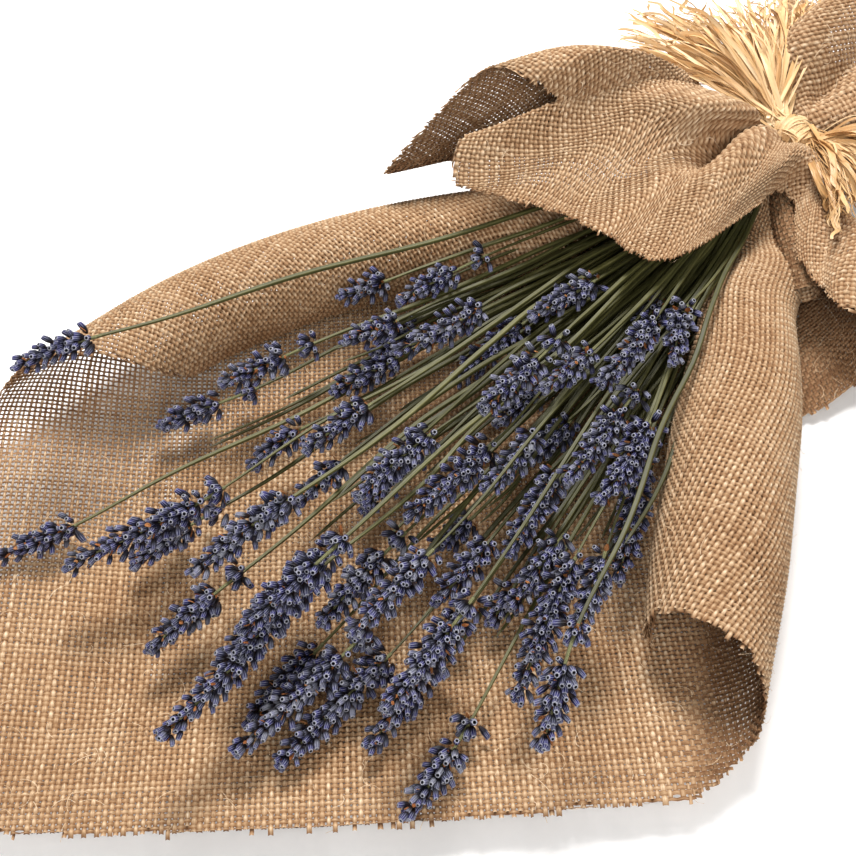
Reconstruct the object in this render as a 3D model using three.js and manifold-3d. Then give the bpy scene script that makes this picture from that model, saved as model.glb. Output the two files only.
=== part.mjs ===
// A bunch of dried lavender that lies on its side in a burlap wrap, with a
// burlap collar over its neck and a raffia tie. Millimetres, +Z up.
// The flowers point to -Y. The tie is at y = TIE_Y, and the wrap lies on z = 0.
import * as THREE from "three";
import { mergeVertices } from "three/addons/utils/BufferGeometryUtils.js";
import Module from "manifold-3d";

const wasm = await Module();
wasm.setup();

// ---- driving dimensions -------------------------------------------------
const TIE_Y = 190; // tie, measured from the middle of the resting face
const NECK_Z = 24; // height of the neck's axis
const CLOTH = 1.6; // thickness of a solid that stands for the burlap
const CORNER = 447; // tie to the wrap's front corner
const TAIL = 130; // tie to the wrap's rear corner
const WRAP_NECK = 10.3; // radius of the gathered wrap under the tie
const COLLAR_NECK = 12.7; // radius of the gathered collar under the tie
const RAFFIA_NECK = 13.9; // inner radius of the raffia band
const RAFFIA_DEPTH = 2.2;
const RAFFIA_WIDTH = 10;
const UNDER_TIE = RAFFIA_WIDTH / 2 + 0.8; // the cloth stays gathered this far each way
const EDGE_LIFT = 11; // how far the wrap's front edge curls up
const STEM_R = 1.25;
const STEMS_NECK = 6.5; // how far a stem's centre lies from the neck's axis
const STEM_BEHIND = 92; // how far the cut ends reach behind the tie
const HEAD_R = 6.2; // reach of the florets from a head's axis
const HEAD_CORE = 1.9;
const WHORL = 7.1; // distance between two rows of florets
const GAP = 0.4; // air between a stem's end and its flower head
const RIBBON = { wide: 3.4, thick: 0.8 }; // one loose raffia end

const SEEDS = { stems: 7, heads: 21, left: 3, right: 5 };

// Each flower head: bearing from the bunch's axis (degrees, + to the right),
// reach of its tip from the tie, height of its tip, and length.
const HEADS = [
  [-18, 347, 60, 36], [-15, 302, 14, 43], [-14, 277, 30, 44], [-18, 216, 30, 24],
  [-15, 200, 36, 46], [-10, 378, 12, 30], [-5, 363, 34, 63], [-6, 341, 13, 42],
  [0, 359, 20, 46], [-6, 285, 20, 30], [-3, 272, 40, 34], [4, 347, 30, 59],
  [6, 344, 50, 51], [6, 384, 40, 83], [7, 354, 12, 40], [9, 368, 24, 63],
  [11, 362, 12, 58], [14, 341, 14, 62], [18, 357, 12, 44], [23, 335, 58, 48],
  [20, 308, 30, 63], [24, 247, 26, 66], [23, 162, 42, 38], [17, 228, 42, 60],
  [6, 222, 48, 52], [5, 201, 18, 30], [14, 257, 30, 44], [4, 278, 46, 44],
  [8, 268, 34, 50], [13, 183, 46, 46], [2, 165, 38, 34], [-7, 214, 28, 44],
  [-5, 201, 20, 48], [-5, 149, 28, 26], [7, 315, 26, 50], [15, 338, 42, 54],
  [11, 321, 48, 44], [0, 264, 20, 36], [18, 275, 18, 40], [22, 237, 42, 50],
  [13, 286, 20, 34], [-13, 215, 20, 30], [11, 136, 30, 24], [22, 280, 36, 36],
  [-2, 284, 26, 26], [11, 198, 46, 32], [12, 212, 26, 28], [1, 338, 48, 46],
  [-11, 228, 36, 26], [10, 262, 14, 24], [15, 275, 14, 22], [-8, 240, 24, 34],
  [9, 240, 30, 36],
];

// The collar's front rim from its left side over the top to its right side:
// x, distance in front of the tie, z, and how far the cloth arches on the way.
const COLLAR_RIM = [
  [-84, 62, 12, 0], [-100, 100, 22, 4], [-106, 128, 34, 6], [-93, 151, 50, 8],
  [-84, 129, 74, 16], [-77, 107, 88, 22], [-61, 99, 86, 24], [-50, 92, 74, 16],
  [-50, 90, 64, 0], [-60, 112, 63, 0], [-66, 135, 74, 12], [-57, 147, 64, 8],
  [-42, 138, 60, 4], [-21, 125, 56, 2], [0, 120, 54, 0], [12, 118, 52, -2],
  [22, 112, 50, -3], [26, 97, 49, -2], [27, 80, 48, 1], [27, 58, 47, 4],
  [26, 40, 44, 2], [30, 34, 37, 0], [44, 50, 34, 3], [60, 62, 37, 4],
  [68, 64, 34, 2], [77, 70, 37, 6], [88, 67, 35, 11], [96, 61, 24, 10],
  [98, 71, 11, 5], [96, 92, 5, 1], [96, 110, 3, 0],
];

const BURLAP = new THREE.MeshStandardMaterial({ color: 0xb48d5c, roughness: 0.95, metalness: 0 });
const FLORET = new THREE.MeshStandardMaterial({ color: 0x565a88, roughness: 0.9, metalness: 0 });
const STALK = new THREE.MeshStandardMaterial({ color: 0x727a4a, roughness: 0.8, metalness: 0 });
const RAFFIA = new THREE.MeshStandardMaterial({ color: 0xdcc08e, roughness: 0.6, metalness: 0 });

// ---- small helpers ------------------------------------------------------
const rad = THREE.MathUtils.degToRad;
const mix = THREE.MathUtils.lerp;
const rise = (from, to, x) => THREE.MathUtils.smoothstep(x, from, to);

/** A repeatable stream of numbers from 0 to 1. */
function draws(seed) {
  let state = seed;
  return () => {
    state = (state * 1664525 + 1013904223) % 4294967296;
    return state / 4294967296;
  };
}

/** A point given by its distance in front of the tie. */
const inFront = (x, ahead, z) => new THREE.Vector3(x, TIE_Y - ahead, z);

function toSolid(geometry) {
  geometry.deleteAttribute("normal");
  geometry.deleteAttribute("uv");
  const merged = mergeVertices(geometry, 1e-4);
  return new wasm.Manifold(new wasm.Mesh({
    numProp: 3,
    vertProperties: Float32Array.from(merged.attributes.position.array),
    triVerts: Uint32Array.from(merged.index.array),
  }));
}

function toGeometry(solid) {
  const { vertProperties, triVerts } = solid.getMesh();
  const geometry = new THREE.BufferGeometry();
  geometry.setAttribute("position", new THREE.BufferAttribute(vertProperties, 3));
  geometry.setIndex(new THREE.BufferAttribute(triVerts, 1));
  geometry.computeVertexNormals();
  return geometry;
}

/** Keep a mesh's largest shell, so that a hollow sealed between pieces is filled. */
function largestShell(geometry) {
  const { index } = geometry;
  const parent = Array.from({ length: geometry.attributes.position.count }, (_, i) => i);
  const root = (i) => {
    while (parent[i] !== i) i = parent[i] = parent[parent[i]];
    return i;
  };
  for (let i = 0; i < index.count; i += 3) {
    parent[root(index.getX(i))] = root(index.getX(i + 1));
    parent[root(index.getX(i + 1))] = root(index.getX(i + 2));
  }
  const sizes = new Map();
  for (let i = 0; i < index.count; i++) {
    const r = root(index.getX(i));
    sizes.set(r, (sizes.get(r) ?? 0) + 1);
  }
  const [largest] = [...sizes].sort((a, b) => b[1] - a[1])[0];
  geometry.setIndex(Array.from(index.array).filter((i) => root(i) === largest));
  return mergeVertices(geometry.toNonIndexed().deleteAttribute("normal"), 1e-5);
}

function join(geometries) {
  const whole = geometries.map(toSolid).reduce((all, one) => all.add(one));
  return largestShell(toGeometry(whole));
}

/** A closed sheet of cloth: columns u and rows v of a surface, given its thickness. */
function clothSolid(surface, us, vs) {
  const step = 1e-3;
  const points = [];
  for (const side of [1, -1]) {
    for (const v of vs) {
      for (const u of us) {
        const du = surface(u + step, v).sub(surface(u - step, v));
        const dv = surface(u, v + step).sub(surface(u, v - step));
        const normal = du.cross(dv).normalize();
        points.push(...surface(u, v).addScaledVector(normal, (side * CLOTH) / 2));
      }
    }
  }
  const columns = us.length;
  const layer = columns * vs.length;
  const index = [];
  const quad = (a, b, c, d) => index.push(a, b, c, a, c, d);
  for (let j = 0; j + 1 < vs.length; j++) {
    for (let i = 0; i + 1 < columns; i++) {
      const a = j * columns + i;
      quad(a, a + 1, a + 1 + columns, a + columns);
      index.push(layer + a, layer + a + 1 + columns, layer + a + 1);
      index.push(layer + a, layer + a + columns, layer + a + 1 + columns);
    }
  }
  const rim = [];
  for (let i = 0; i < columns; i++) rim.push(i);
  for (let j = 1; j < vs.length; j++) rim.push(j * columns + columns - 1);
  for (let i = columns - 2; i >= 0; i--) rim.push((vs.length - 1) * columns + i);
  for (let j = vs.length - 2; j > 0; j--) rim.push(j * columns);
  rim.forEach((a, k) => {
    const b = rim[(k + 1) % rim.length];
    quad(a, a + layer, b + layer, b);
  });
  const geometry = new THREE.BufferGeometry();
  geometry.setAttribute("position", new THREE.Float32BufferAttribute(points, 3));
  geometry.setIndex(index);
  geometry.computeVertexNormals();
  return geometry;
}

const spread = (count, from, to) => Array.from({ length: count + 1 }, (_, i) => mix(from, to, i / count));

// ---- the burlap wrap ----------------------------------------------------
// Each side lies flat from the middle outwards, then rolls up and inwards.
// u runs from the middle (0) to the rolled-in edge (1), with the roll from 0.5.
const RIGHT = {
  sign: 1,
  rowAhead: 1.33, // how much further ahead the roll's row starts in the middle
  slant: () => rad(32),
  floor: (y) => 3 + 0.53 * y - 5 * rise(0, 60, y),
  radius: (y) => 7 + 16.5 * rise(0, 200, y) - 3 * rise(260, 340, y),
  edge: (u) => (u <= 0.5 ? CORNER - 168 * u ** 1.1 : 304 + 68 * Math.max(0, 2 - 2 * u) ** 2.2),
};
const LEFT = {
  sign: -1,
  rowAhead: 1.2,
  slant: (y) => rad(24 * (1 - rise(150, 330, y))),
  floor: (y) => 4 + 106 * rise(0, 280, y),
  radius: (y) => 7 + 12.5 * rise(0, 160, y),
  edge: (u) => (u <= 0.5 ? CORNER - 194 * u : 350 - 79 * (2 * u - 1) ** 0.9),
};
const turn = (y) => rad(150 + 150 * rise(40, 180, y));
const OPENING = [10, 90]; // the stretch in front of the tie where the gathers open out

/** How far the wrap's front edge curls up off the surface. */
const edgeLift = (side, u, y) => EDGE_LIFT * (1 - rise(0, 110, side.edge(u) - y)) * (1 - rise(0.5, 0.7, u));

/** Cloth laid flat and rolled up beside the flowers. */
function laidOut(side, u, y) {
  const floor = side.floor(y);
  const radius = side.radius(y);
  const angle = Math.max(0, 2 * u - 1) * turn(y);
  const out = u <= 0.5 ? 2 * u * floor : floor + radius * Math.sin(angle);
  const z = CLOTH / 2 + radius * (1 - Math.cos(angle)) + edgeLift(side, u, y);
  return inFront(Math.cos(side.slant(y)) * out, y - Math.sin(side.slant(y)) * out, z);
}

/** The gathered cloth's cross-section, y in front of the tie or, if negative, behind it. */
function gather(y) {
  const ahead = Math.max(0, y - UNDER_TIE);
  const behind = Math.max(0, -y - UNDER_TIE);
  return {
    wide: WRAP_NECK + 0.5 * ahead + 0.2 * behind,
    high: WRAP_NECK + 0.15 * ahead + 0.1 * behind,
    centre: NECK_Z + 0.02 * behind,
    halfTurn: rad(165 - 55 * rise(0, 40, ahead)),
  };
}

/** Cloth gathered round the stems. */
function gathered(u, y) {
  const { wide, high, centre, halfTurn } = gather(y);
  return inFront(wide * Math.sin(u * halfTurn), y, centre - high * Math.cos(u * halfTurn));
}

function wrapSurface(s, v) {
  const side = s < 0 ? LEFT : RIGHT;
  const u = Math.abs(s);
  const y = v > 0 ? v * side.edge(u) : v * TAIL * (1 - 0.88 * u);
  const point = v > 0 ? laidOut(side, u, y).lerp(gathered(u, y), 1 - rise(...OPENING, y)) : gathered(u, y);
  point.x *= side.sign;
  return point;
}

function burlapWrap() {
  const half = [...spread(4, 0, 0.5), ...spread(10, 0.5, 1).slice(1)];
  const us = [...half.slice(1).reverse().map((u) => -u), ...half];
  const vs = [-1, -0.66, -0.33, -0.05, 0.02, 0.07, 0.13, ...spread(12, 0.2, 1)];
  return clothSolid(wrapSurface, us, vs);
}

// ---- the burlap collar --------------------------------------------------
const rimCurve = new THREE.CatmullRomCurve3(COLLAR_RIM.map(([x, y, z]) => inFront(x, y, z)));
const COLLAR_SWEEP = rad(116); // how far the collar reaches down each side of the neck
const COLLAR_TIED = 0.05; // share of the collar's length that lies under the tie
const COLLAR_PUFF = 15; // how far it billows beside the tie

function archAt(u) {
  const place = THREE.MathUtils.clamp(u, 0, 1) * (COLLAR_RIM.length - 1);
  const i = Math.min(COLLAR_RIM.length - 2, Math.floor(place));
  return mix(COLLAR_RIM[i][3], COLLAR_RIM[i + 1][3], place - i);
}

/** v runs from the rear rim (-1) through the tie (0) to the front rim (1). */
function collarSurface(u, v) {
  const angle = mix(-COLLAR_SWEEP, COLLAR_SWEEP, u);
  const t = Math.max(0, (Math.abs(v) - COLLAR_TIED) / (1 - COLLAR_TIED));
  const ahead = (Math.sign(v) * UNDER_TIE * Math.min(COLLAR_TIED, Math.abs(v))) / COLLAR_TIED;
  const puff = COLLAR_NECK + COLLAR_PUFF * 6.75 * t * (1 - t) ** 2;
  const point = inFront(puff * Math.sin(angle), ahead, NECK_Z + puff * Math.cos(angle));
  const rim = v >= 0 ? rimCurve.getPoint(THREE.MathUtils.clamp(u, 0, 1)) : rearRim(angle);
  const neck = inFront(COLLAR_NECK * Math.sin(angle), ahead, NECK_Z + COLLAR_NECK * Math.cos(angle));
  point.add(rim.sub(neck).multiplyScalar(t));
  if (v > 0) point.z += archAt(u) * 4 * t * (1 - t);
  point.z = Math.max(point.z, CLOTH / 2);
  return point;
}

/** The wavy rim of the collar behind the tie. */
function rearRim(angle) {
  const reach = 46 + 14 * Math.cos(5 * (angle + 0.1));
  const z = Math.max(3, NECK_Z + reach * Math.cos(angle));
  return inFront(reach * Math.sin(angle), -84 - 8 * Math.cos(3 * angle), z);
}

function burlapCollar() {
  const vs = [-1, -0.7, -0.45, -0.22, -COLLAR_TIED, COLLAR_TIED, 0.16, 0.3, 0.48, 0.72, 1];
  return clothSolid(collarSurface, spread(44, 0, 1), vs);
}

// ---- how the stems settle -----------------------------------------------
const PLANE = 20; // distance between the cross-sections that are compared
const MIDDLE = { bearing: 3, height: 32 }; // the spread's middle, which passes the neck's axis
const SPREAD = { bearing: 21, height: 30 }; // and how far from it a stem lies at the neck's rim
const ROUNDS = 240;
const LAST_PUSHES = 14; // rounds at the end that only part what still touches
const SMOOTHING = 0.3;
const PULL_BACK = 0.01;

/** The stems' starting places: straight from the neck to each head's tip. */
function straightStems() {
  return HEADS.map(([bearing, reach, height, length]) => {
    const side = Math.sin(rad(bearing)) * reach;
    const ahead = Math.cos(rad(bearing)) * reach;
    const across = (bearing - MIDDLE.bearing) / SPREAD.bearing;
    const neck = new THREE.Vector2(across, (height - MIDDLE.height) / SPREAD.height);
    neck.multiplyScalar(STEMS_NECK / Math.max(1, neck.length()));
    const base = ahead * (1 - length / reach);
    const count = Math.ceil(ahead / PLANE);
    const target = [];
    for (let k = 0; k <= count; k++) {
      const t = (k * PLANE) / ahead;
      target.push([mix(neck.x, side, t), mix(NECK_Z + neck.y, height, t)]);
    }
    return { neck, ahead, base, target, at: target.map((p) => [...p]) };
  });
}

/** The room that a stem or its head needs in cross-section k. */
const clear = (stem, k) => (k * PLANE > stem.base - PLANE / 2 ? HEAD_R + 0.5 : STEM_R + 0.6);

/** Push a point out of a disc. */
function pushOut(point, x, z, away) {
  const dx = point[0] - x;
  const dz = point[1] - z;
  const distance = Math.hypot(dx, dz) || 1e-6;
  if (distance < away) {
    point[0] += (dx / distance) * (away - distance);
    point[1] += (dz / distance) * (away - distance);
  }
}

/** The height of the wrap's upper face under a point. */
function clothBelow(x, y) {
  const side = x < 0 ? LEFT : RIGHT;
  const row = y + Math.abs(x) * Math.tan(side.slant(y));
  const u = Math.abs(x) / Math.cos(side.slant(row)) / side.floor(row) / 2;
  return CLOTH + edgeLift(side, Math.min(0.5, u), row);
}

/** Keep a point inside the gathered cloth. */
function keepGathered(point, y, room) {
  const { wide, high, centre } = gather(y);
  const flat = 1 - rise(...OPENING, y);
  const across = point[0] / (wide - room);
  const up = (point[1] - centre) / (high * flat + centre * (1 - flat) - room);
  const outside = Math.max(1, Math.hypot(across, up));
  point[0] /= outside;
  point[1] = centre + (point[1] - centre) / outside;
}

/** Keep a point above the floor, beside the rolls and under the collar. */
function keepInside(point, k, room) {
  const y = k * PLANE;
  point[1] = Math.max(point[1], clothBelow(point[0], y) + 0.6 + room);
  const roof = NECK_Z + mix(7, 22, Math.min(1, y / 110));
  if (y < 130) point[1] = Math.min(point[1], roof - room);
  if (y < 50) keepGathered(point, y, room + 1.3 + Math.max(0, 5 - y / 8));
  for (const side of [RIGHT, LEFT]) {
    const row = y * side.rowAhead;
    const x = Math.cos(side.slant(row)) * side.floor(row);
    const radius = side.radius(row);
    if (y > 50 && y < 330) pushOut(point, side.sign * x, radius, radius * 1.12 + 2 + room);
  }
}

/** Move two points of a cross-section apart until they have the room they need. */
function part(p, q, need) {
  const dx = q[0] - p[0];
  const dz = q[1] - p[1] + 1e-6;
  const distance = Math.hypot(dx, dz);
  const push = Math.max(0, need - distance) / distance / 2;
  p[0] -= dx * push;
  p[1] -= dz * push;
  q[0] += dx * push;
  q[1] += dz * push;
}

/** Draw each stem straighter, and a little back to where it started. */
function straighten({ at, target }) {
  for (let k = 1; k + 1 < at.length; k++) {
    for (const axis of [0, 1]) {
      const between = (at[k - 1][axis] + at[k + 1][axis]) / 2;
      at[k][axis] += SMOOTHING * (between - at[k][axis]);
      at[k][axis] += PULL_BACK * (target[k][axis] - at[k][axis]);
    }
  }
}

/** Let heads and stems push each other aside until none crosses another. */
function settle(stems) {
  const planes = Math.max(...stems.map((stem) => stem.at.length));
  for (let round = 0; round < ROUNDS; round++) {
    for (let k = 1; k < planes; k++) {
      const here = stems.filter((stem) => stem.at.length > k);
      here.forEach((a, i) => here.slice(i + 1).forEach((b) => {
        const need = clear(a, k) + clear(b, k);
        if (need > HEAD_R) part(a.at[k], b.at[k], need);
      }));
      here.forEach((stem) => keepInside(stem.at[k], k, clear(stem, k)));
    }
    if (round < ROUNDS - LAST_PUSHES) stems.forEach(straighten);
  }
  return stems;
}

/** The stem's settled path as a curve, and where on it the head begins. */
function pathOf(stem) {
  const points = stem.at.map(([x, z], k) => inFront(x, k * PLANE, z));
  return new THREE.CatmullRomCurve3(points);
}

// ---- stems --------------------------------------------------------------
/** The place on a path that lies so far in front of the tie. */
const curveAhead = (path, ahead) => {
  let [low, high] = [0, 1];
  for (let i = 0; i < 24; i++) {
    const middle = (low + high) / 2;
    if (TIE_Y - path.getPoint(middle).y < ahead) low = middle;
    else high = middle;
  }
  return low;
};

/** A point beside a path: turned by an angle round it, at a radius. */
function beside(point, ahead, angle, radius) {
  const across = new THREE.Vector3().crossVectors(ahead, new THREE.Vector3(0, 0, 1)).normalize();
  const below = new THREE.Vector3().crossVectors(ahead, across);
  return point.clone()
    .addScaledVector(across, radius * Math.cos(angle))
    .addScaledVector(below, radius * Math.sin(angle));
}

/** A stem of polygon section through the points, closed at both ends. */
function stalk(points, sides, radius) {
  const corners = [];
  const index = [];
  const last = points.length - 1;
  points.forEach((point, i) => {
    const ahead = points[Math.min(i + 1, last)].clone().sub(points[Math.max(i - 1, 0)]).normalize();
    for (let j = 0; j < sides; j++) {
      corners.push(...beside(point, ahead, (2 * Math.PI * j) / sides, radius));
    }
  });
  for (let i = 0; i < last; i++) {
    for (let j = 0; j < sides; j++) {
      const a = i * sides + j;
      const b = i * sides + ((j + 1) % sides);
      index.push(a, b, b + sides, a, b + sides, a + sides);
    }
  }
  for (let j = 1; j + 1 < sides; j++) {
    index.push(0, j + 1, j, last * sides, last * sides + j, last * sides + j + 1);
  }
  const geometry = new THREE.BufferGeometry();
  geometry.setAttribute("position", new THREE.Float32BufferAttribute(corners, 3));
  geometry.setIndex(index);
  return geometry;
}

function stemSolid(stem, random) {
  const path = pathOf(stem);
  const end = curveAhead(path, stem.base - GAP);
  const cut = STEM_BEHIND - 26 * random();
  const points = [inFront(stem.neck.x * 1.9, -cut, NECK_Z + 3 + stem.neck.y * 1.6)];
  const steps = Math.max(3, Math.round(stem.base / 64));
  spread(steps, 0, 1).forEach((t) => points.push(path.getPoint(end * t ** 1.5)));
  return stalk(points, 4, STEM_R);
}

function allStems(stems) {
  const random = draws(SEEDS.stems);
  const full = STEMS_NECK + 1.2;
  const core = [[0, -34], [5.5, -30], [full, -UNDER_TIE], [full, 8], [5.5, 30], [0, 34]];
  const packed = new THREE.LatheGeometry(core.map(([x, y]) => new THREE.Vector2(x, y)), 10);
  packed.translate(0, TIE_Y, NECK_Z);
  return join([packed, ...stems.map((stem) => stemSolid(stem, random))]);
}

// ---- flower heads -------------------------------------------------------
const SIDES = 5; // florets in a row
const TWIST = 0.35; // how far each row turns from the one before, in florets
const BARE_FROM = 40; // shortest head whose lower whorl stands apart on the stalk
const NOSE = 4; // the core's pointed end

/** The centres, directions and radii of a head's rows, from its base to its tip. */
function headRings(stem, rows, apart) {
  const path = pathOf(stem);
  return spread(rows, 0, 1).map((along, i) => {
    const t = curveAhead(path, mix(stem.base, stem.ahead - NOSE, along));
    const thin = apart && (i === 1 || i === 2) ? 0.62 : 1;
    const size = i === 0 || i === rows ? 0.7 : thin;
    return { centre: path.getPoint(t), ahead: path.getTangent(t), radius: HEAD_CORE * size };
  });
}

/** Rows of florets on a slim core, each a pointed spike that leans forward. */
function flowerHead(stem, random) {
  const length = stem.ahead - stem.base;
  const rows = Math.max(3, Math.round(length / WHORL));
  const apart = length > BARE_FROM && random() < 0.6;
  const rings = headRings(stem, rows, apart);
  const corner = (ring, turned, radius) => (
    beside(ring.centre, ring.ahead, (2 * Math.PI * turned) / SIDES, radius));
  const points = [];
  const index = [];
  rings.forEach((ring, i) => {
    for (let j = 0; j < SIDES; j++) points.push(...corner(ring, j + TWIST * i, ring.radius));
  });
  for (let i = 0; i < rows; i++) {
    const taper = 1 - 0.45 * Math.max(0, (i + 1) / rows - 0.6) / 0.4;
    for (let j = 0; j < SIDES; j++) {
      const a = i * SIDES + j;
      const b = i * SIDES + ((j + 1) % SIDES);
      const [c, d] = [b + SIDES, a + SIDES];
      if (apart && i === 1) {
        index.push(a, b, c, a, c, d);
        continue;
      }
      const reach = HEAD_R * taper * (0.84 + 0.16 * random());
      const lean = WHORL * (0.75 + 0.3 * random());
      const turned = j + 0.5 + TWIST * (i + 0.5);
      const apex = points.length / 3;
      points.push(...corner(rings[i], turned, reach).addScaledVector(rings[i].ahead, lean));
      index.push(a, b, apex, b, c, apex, c, d, apex, d, a, apex);
    }
  }
  const base = points.length / 3;
  points.push(...rings[0].centre);
  points.push(...rings[rows].centre.clone().addScaledVector(rings[rows].ahead, NOSE));
  for (let j = 0; j < SIDES; j++) {
    const k = (j + 1) % SIDES;
    index.push(base, k, j, base + 1, rows * SIDES + j, rows * SIDES + k);
  }
  const geometry = new THREE.BufferGeometry();
  geometry.setAttribute("position", new THREE.Float32BufferAttribute(points, 3));
  geometry.setIndex(index);
  geometry.computeVertexNormals();
  return geometry;
}

// ---- raffia -------------------------------------------------------------
const RAFFIA_OUTER = RAFFIA_NECK + RAFFIA_DEPTH;
const KNOT = inFront(6, 1, NECK_Z + RAFFIA_OUTER + 2.2);
const KNOT_SIZE = [8.5, 7, 5.2]; // half its extent along x, y and z

function raffiaBand() {
  const half = RAFFIA_WIDTH / 2;
  const inner = RAFFIA_NECK;
  const outer = RAFFIA_OUTER;
  const profile = [[inner, -half], [outer - 0.8, -half], [outer, -half / 2], [outer - 0.5, 0],
    [outer, half / 2], [outer - 0.8, half], [inner, half], [inner, -half]];
  const band = new THREE.LatheGeometry(profile.map(([x, y]) => new THREE.Vector2(x, y)), 28);
  band.translate(0, TIE_Y, NECK_Z);
  const knot = new THREE.SphereGeometry(1, 10, 7);
  knot.scale(...KNOT_SIZE);
  knot.translate(...KNOT);
  return join([band, knot]);
}

/** Loose raffia ends that fan out from one side of the knot. */
function raffiaEnds(root, ends, seed) {
  const random = draws(seed);
  const start = KNOT.clone().add(root);
  const knuckle = new THREE.SphereGeometry(2.6, 7, 5);
  knuckle.translate(...start);
  const [wide, thick] = [RIBBON.wide / 2, RIBBON.thick / 2];
  const corners = [[-wide, -thick], [wide, -thick], [wide, thick], [-wide, thick]];
  const blade = new THREE.Shape(corners.map((corner) => new THREE.Vector2(...corner)));
  const strips = ends.map(([x, y, z]) => {
    const end = inFront(x, y, z);
    const middle = start.clone().lerp(end, 0.5);
    middle.z += 7 + 5 * random();
    const late = start.clone().lerp(end, 0.8);
    late.z += 4 + 3 * random();
    const extrudePath = new THREE.CatmullRomCurve3([start, middle, late, end]);
    return new THREE.ExtrudeGeometry(blade, { steps: 6, extrudePath, bevelEnabled: false });
  });
  return join([knuckle, ...strips]);
}

// Where the loose ends finish: x, distance in front of the tie, and height.
const ENDS_LEFT = [
  [-58, 26, 62], [-68, 16, 60], [-74, 6, 64], [-72, -6, 66], [-66, -18, 62], [-60, -32, 62],
  [-58, -46, 58], [-50, -58, 60], [-40, -68, 58],
];
const ENDS_RIGHT = [
  [54, 34, 49], [62, 24, 46], [66, 12, 44], [64, 0, 46], [58, -12, 46], [50, -24, 48],
];

// ---- the whole bunch ----------------------------------------------------
const bunch = new THREE.Group();

function place(name, geometry, material) {
  const mesh = new THREE.Mesh(geometry, material);
  mesh.name = name;
  bunch.add(mesh);
}

const stems = settle(straightStems());
place("burlap_wrap", burlapWrap(), BURLAP);
place("burlap_collar", burlapCollar(), BURLAP);
place("stems", allStems(stems), STALK);
const headDraws = draws(SEEDS.heads);
stems.forEach((stem, i) => {
  place(`flower_head_${String(i + 1).padStart(2, "0")}`, flowerHead(stem, headDraws), FLORET);
});
const toLeft = new THREE.Vector3(-11, 0, 1);
const toRight = new THREE.Vector3(11, 0, 0);
place("raffia_band", raffiaBand(), RAFFIA);
place("raffia_ends_left", raffiaEnds(toLeft, ENDS_LEFT, SEEDS.left), RAFFIA);
place("raffia_ends_right", raffiaEnds(toRight, ENDS_RIGHT, SEEDS.right), RAFFIA);

export default bunch;
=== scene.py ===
"""Looks of a bunch of dried lavender in a burlap wrap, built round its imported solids.

Lengths are millimetres while a piece is shaped and metres in its mesh. The flowers
point to -Y, the tie is at TIE.y, and the wrap lies on z = 0, as in the solids.
"""
import logging
import math
from dataclasses import dataclass, field
from enum import Enum
from typing import Callable, ClassVar

import bmesh
import bpy
import numpy as np
from mathutils import Matrix, Vector


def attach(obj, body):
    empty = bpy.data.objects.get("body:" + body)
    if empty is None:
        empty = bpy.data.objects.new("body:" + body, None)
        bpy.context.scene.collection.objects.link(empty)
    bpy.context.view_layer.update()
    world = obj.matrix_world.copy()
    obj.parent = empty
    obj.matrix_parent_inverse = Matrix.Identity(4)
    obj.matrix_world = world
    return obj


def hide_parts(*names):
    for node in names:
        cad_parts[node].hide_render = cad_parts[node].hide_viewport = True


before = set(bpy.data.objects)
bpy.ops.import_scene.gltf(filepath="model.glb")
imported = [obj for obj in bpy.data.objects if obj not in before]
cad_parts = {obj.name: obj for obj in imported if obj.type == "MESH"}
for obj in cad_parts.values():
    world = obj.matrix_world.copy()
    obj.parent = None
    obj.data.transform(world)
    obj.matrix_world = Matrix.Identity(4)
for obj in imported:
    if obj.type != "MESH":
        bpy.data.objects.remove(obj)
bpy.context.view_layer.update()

log = logging.getLogger("lavender")
METRES = 0.001
MAP_NAME = "OFBake"
CLOTH = 1.6  # how thick the solids' burlap is
CORNER = 447.0  # how far ahead of the tie the wrap's front corner is
CELLS = 12  # a flower head's flat map holds CELLS by CELLS florets
Numbers = float | np.ndarray
Triple = tuple[float, float, float]
Stops = tuple[tuple[float, Triple], ...]


@dataclass(frozen=True)
class Tie:
    """The gathered neck and its raffia, in millimetres."""

    y: float = 190.0
    height: float = 24.0
    under: float = 5.8
    wrap: float = 10.3
    collar: float = 12.7
    raffia: float = 13.9
    depth: float = 2.2
    width: float = 10.0


TIE = Tie()


# ---- numbers and curves -----------------------------------------------------
def clamp(value: Numbers, low: float, high: float) -> Numbers:
    """Keep a number or an array between two limits.

    Args:
        value: the number or array.
        low: the lower limit.
        high: the upper limit.

    Returns:
        The number or array, kept.
    """
    if isinstance(value, np.ndarray):
        return np.clip(value, low, high)
    return min(max(value, low), high)


def rise(start: float, stop: float, value: Numbers) -> Numbers:
    """Ease from 0 at start to 1 at stop, for a number or an array."""
    t = clamp((value - start) / (stop - start), 0.0, 1.0)
    return t * t * (3 - 2 * t)


def blend(a: Numbers, b: Numbers, share: Numbers) -> Numbers:
    """Mix a into b by a share."""
    return a + (b - a) * share


def bump(value: Numbers, at: float, width: float) -> Numbers:
    """A smooth hill of height 1 at a place."""
    return np.exp(-((value - at) / width) ** 2)


def in_front(x: Numbers, ahead: Numbers, z: Numbers) -> np.ndarray:
    """Points, one a row, given by how far right, ahead of the tie and up they are."""
    x, ahead, z = np.broadcast_arrays(x, ahead, z)
    return np.stack([x, TIE.y - ahead, z], axis=-1).astype(float)


def unit(vectors: np.ndarray) -> np.ndarray:
    """Vectors of length one."""
    return vectors / np.maximum(np.linalg.norm(vectors, axis=-1, keepdims=True), 1e-9)


def frame_of(heading: np.ndarray) -> tuple[np.ndarray, np.ndarray]:
    """Two directions square to a heading, level and steep."""
    level = unit(np.cross(heading, np.array([0.0, 0.0, 1.0])))
    return level, np.cross(heading, level)


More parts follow.
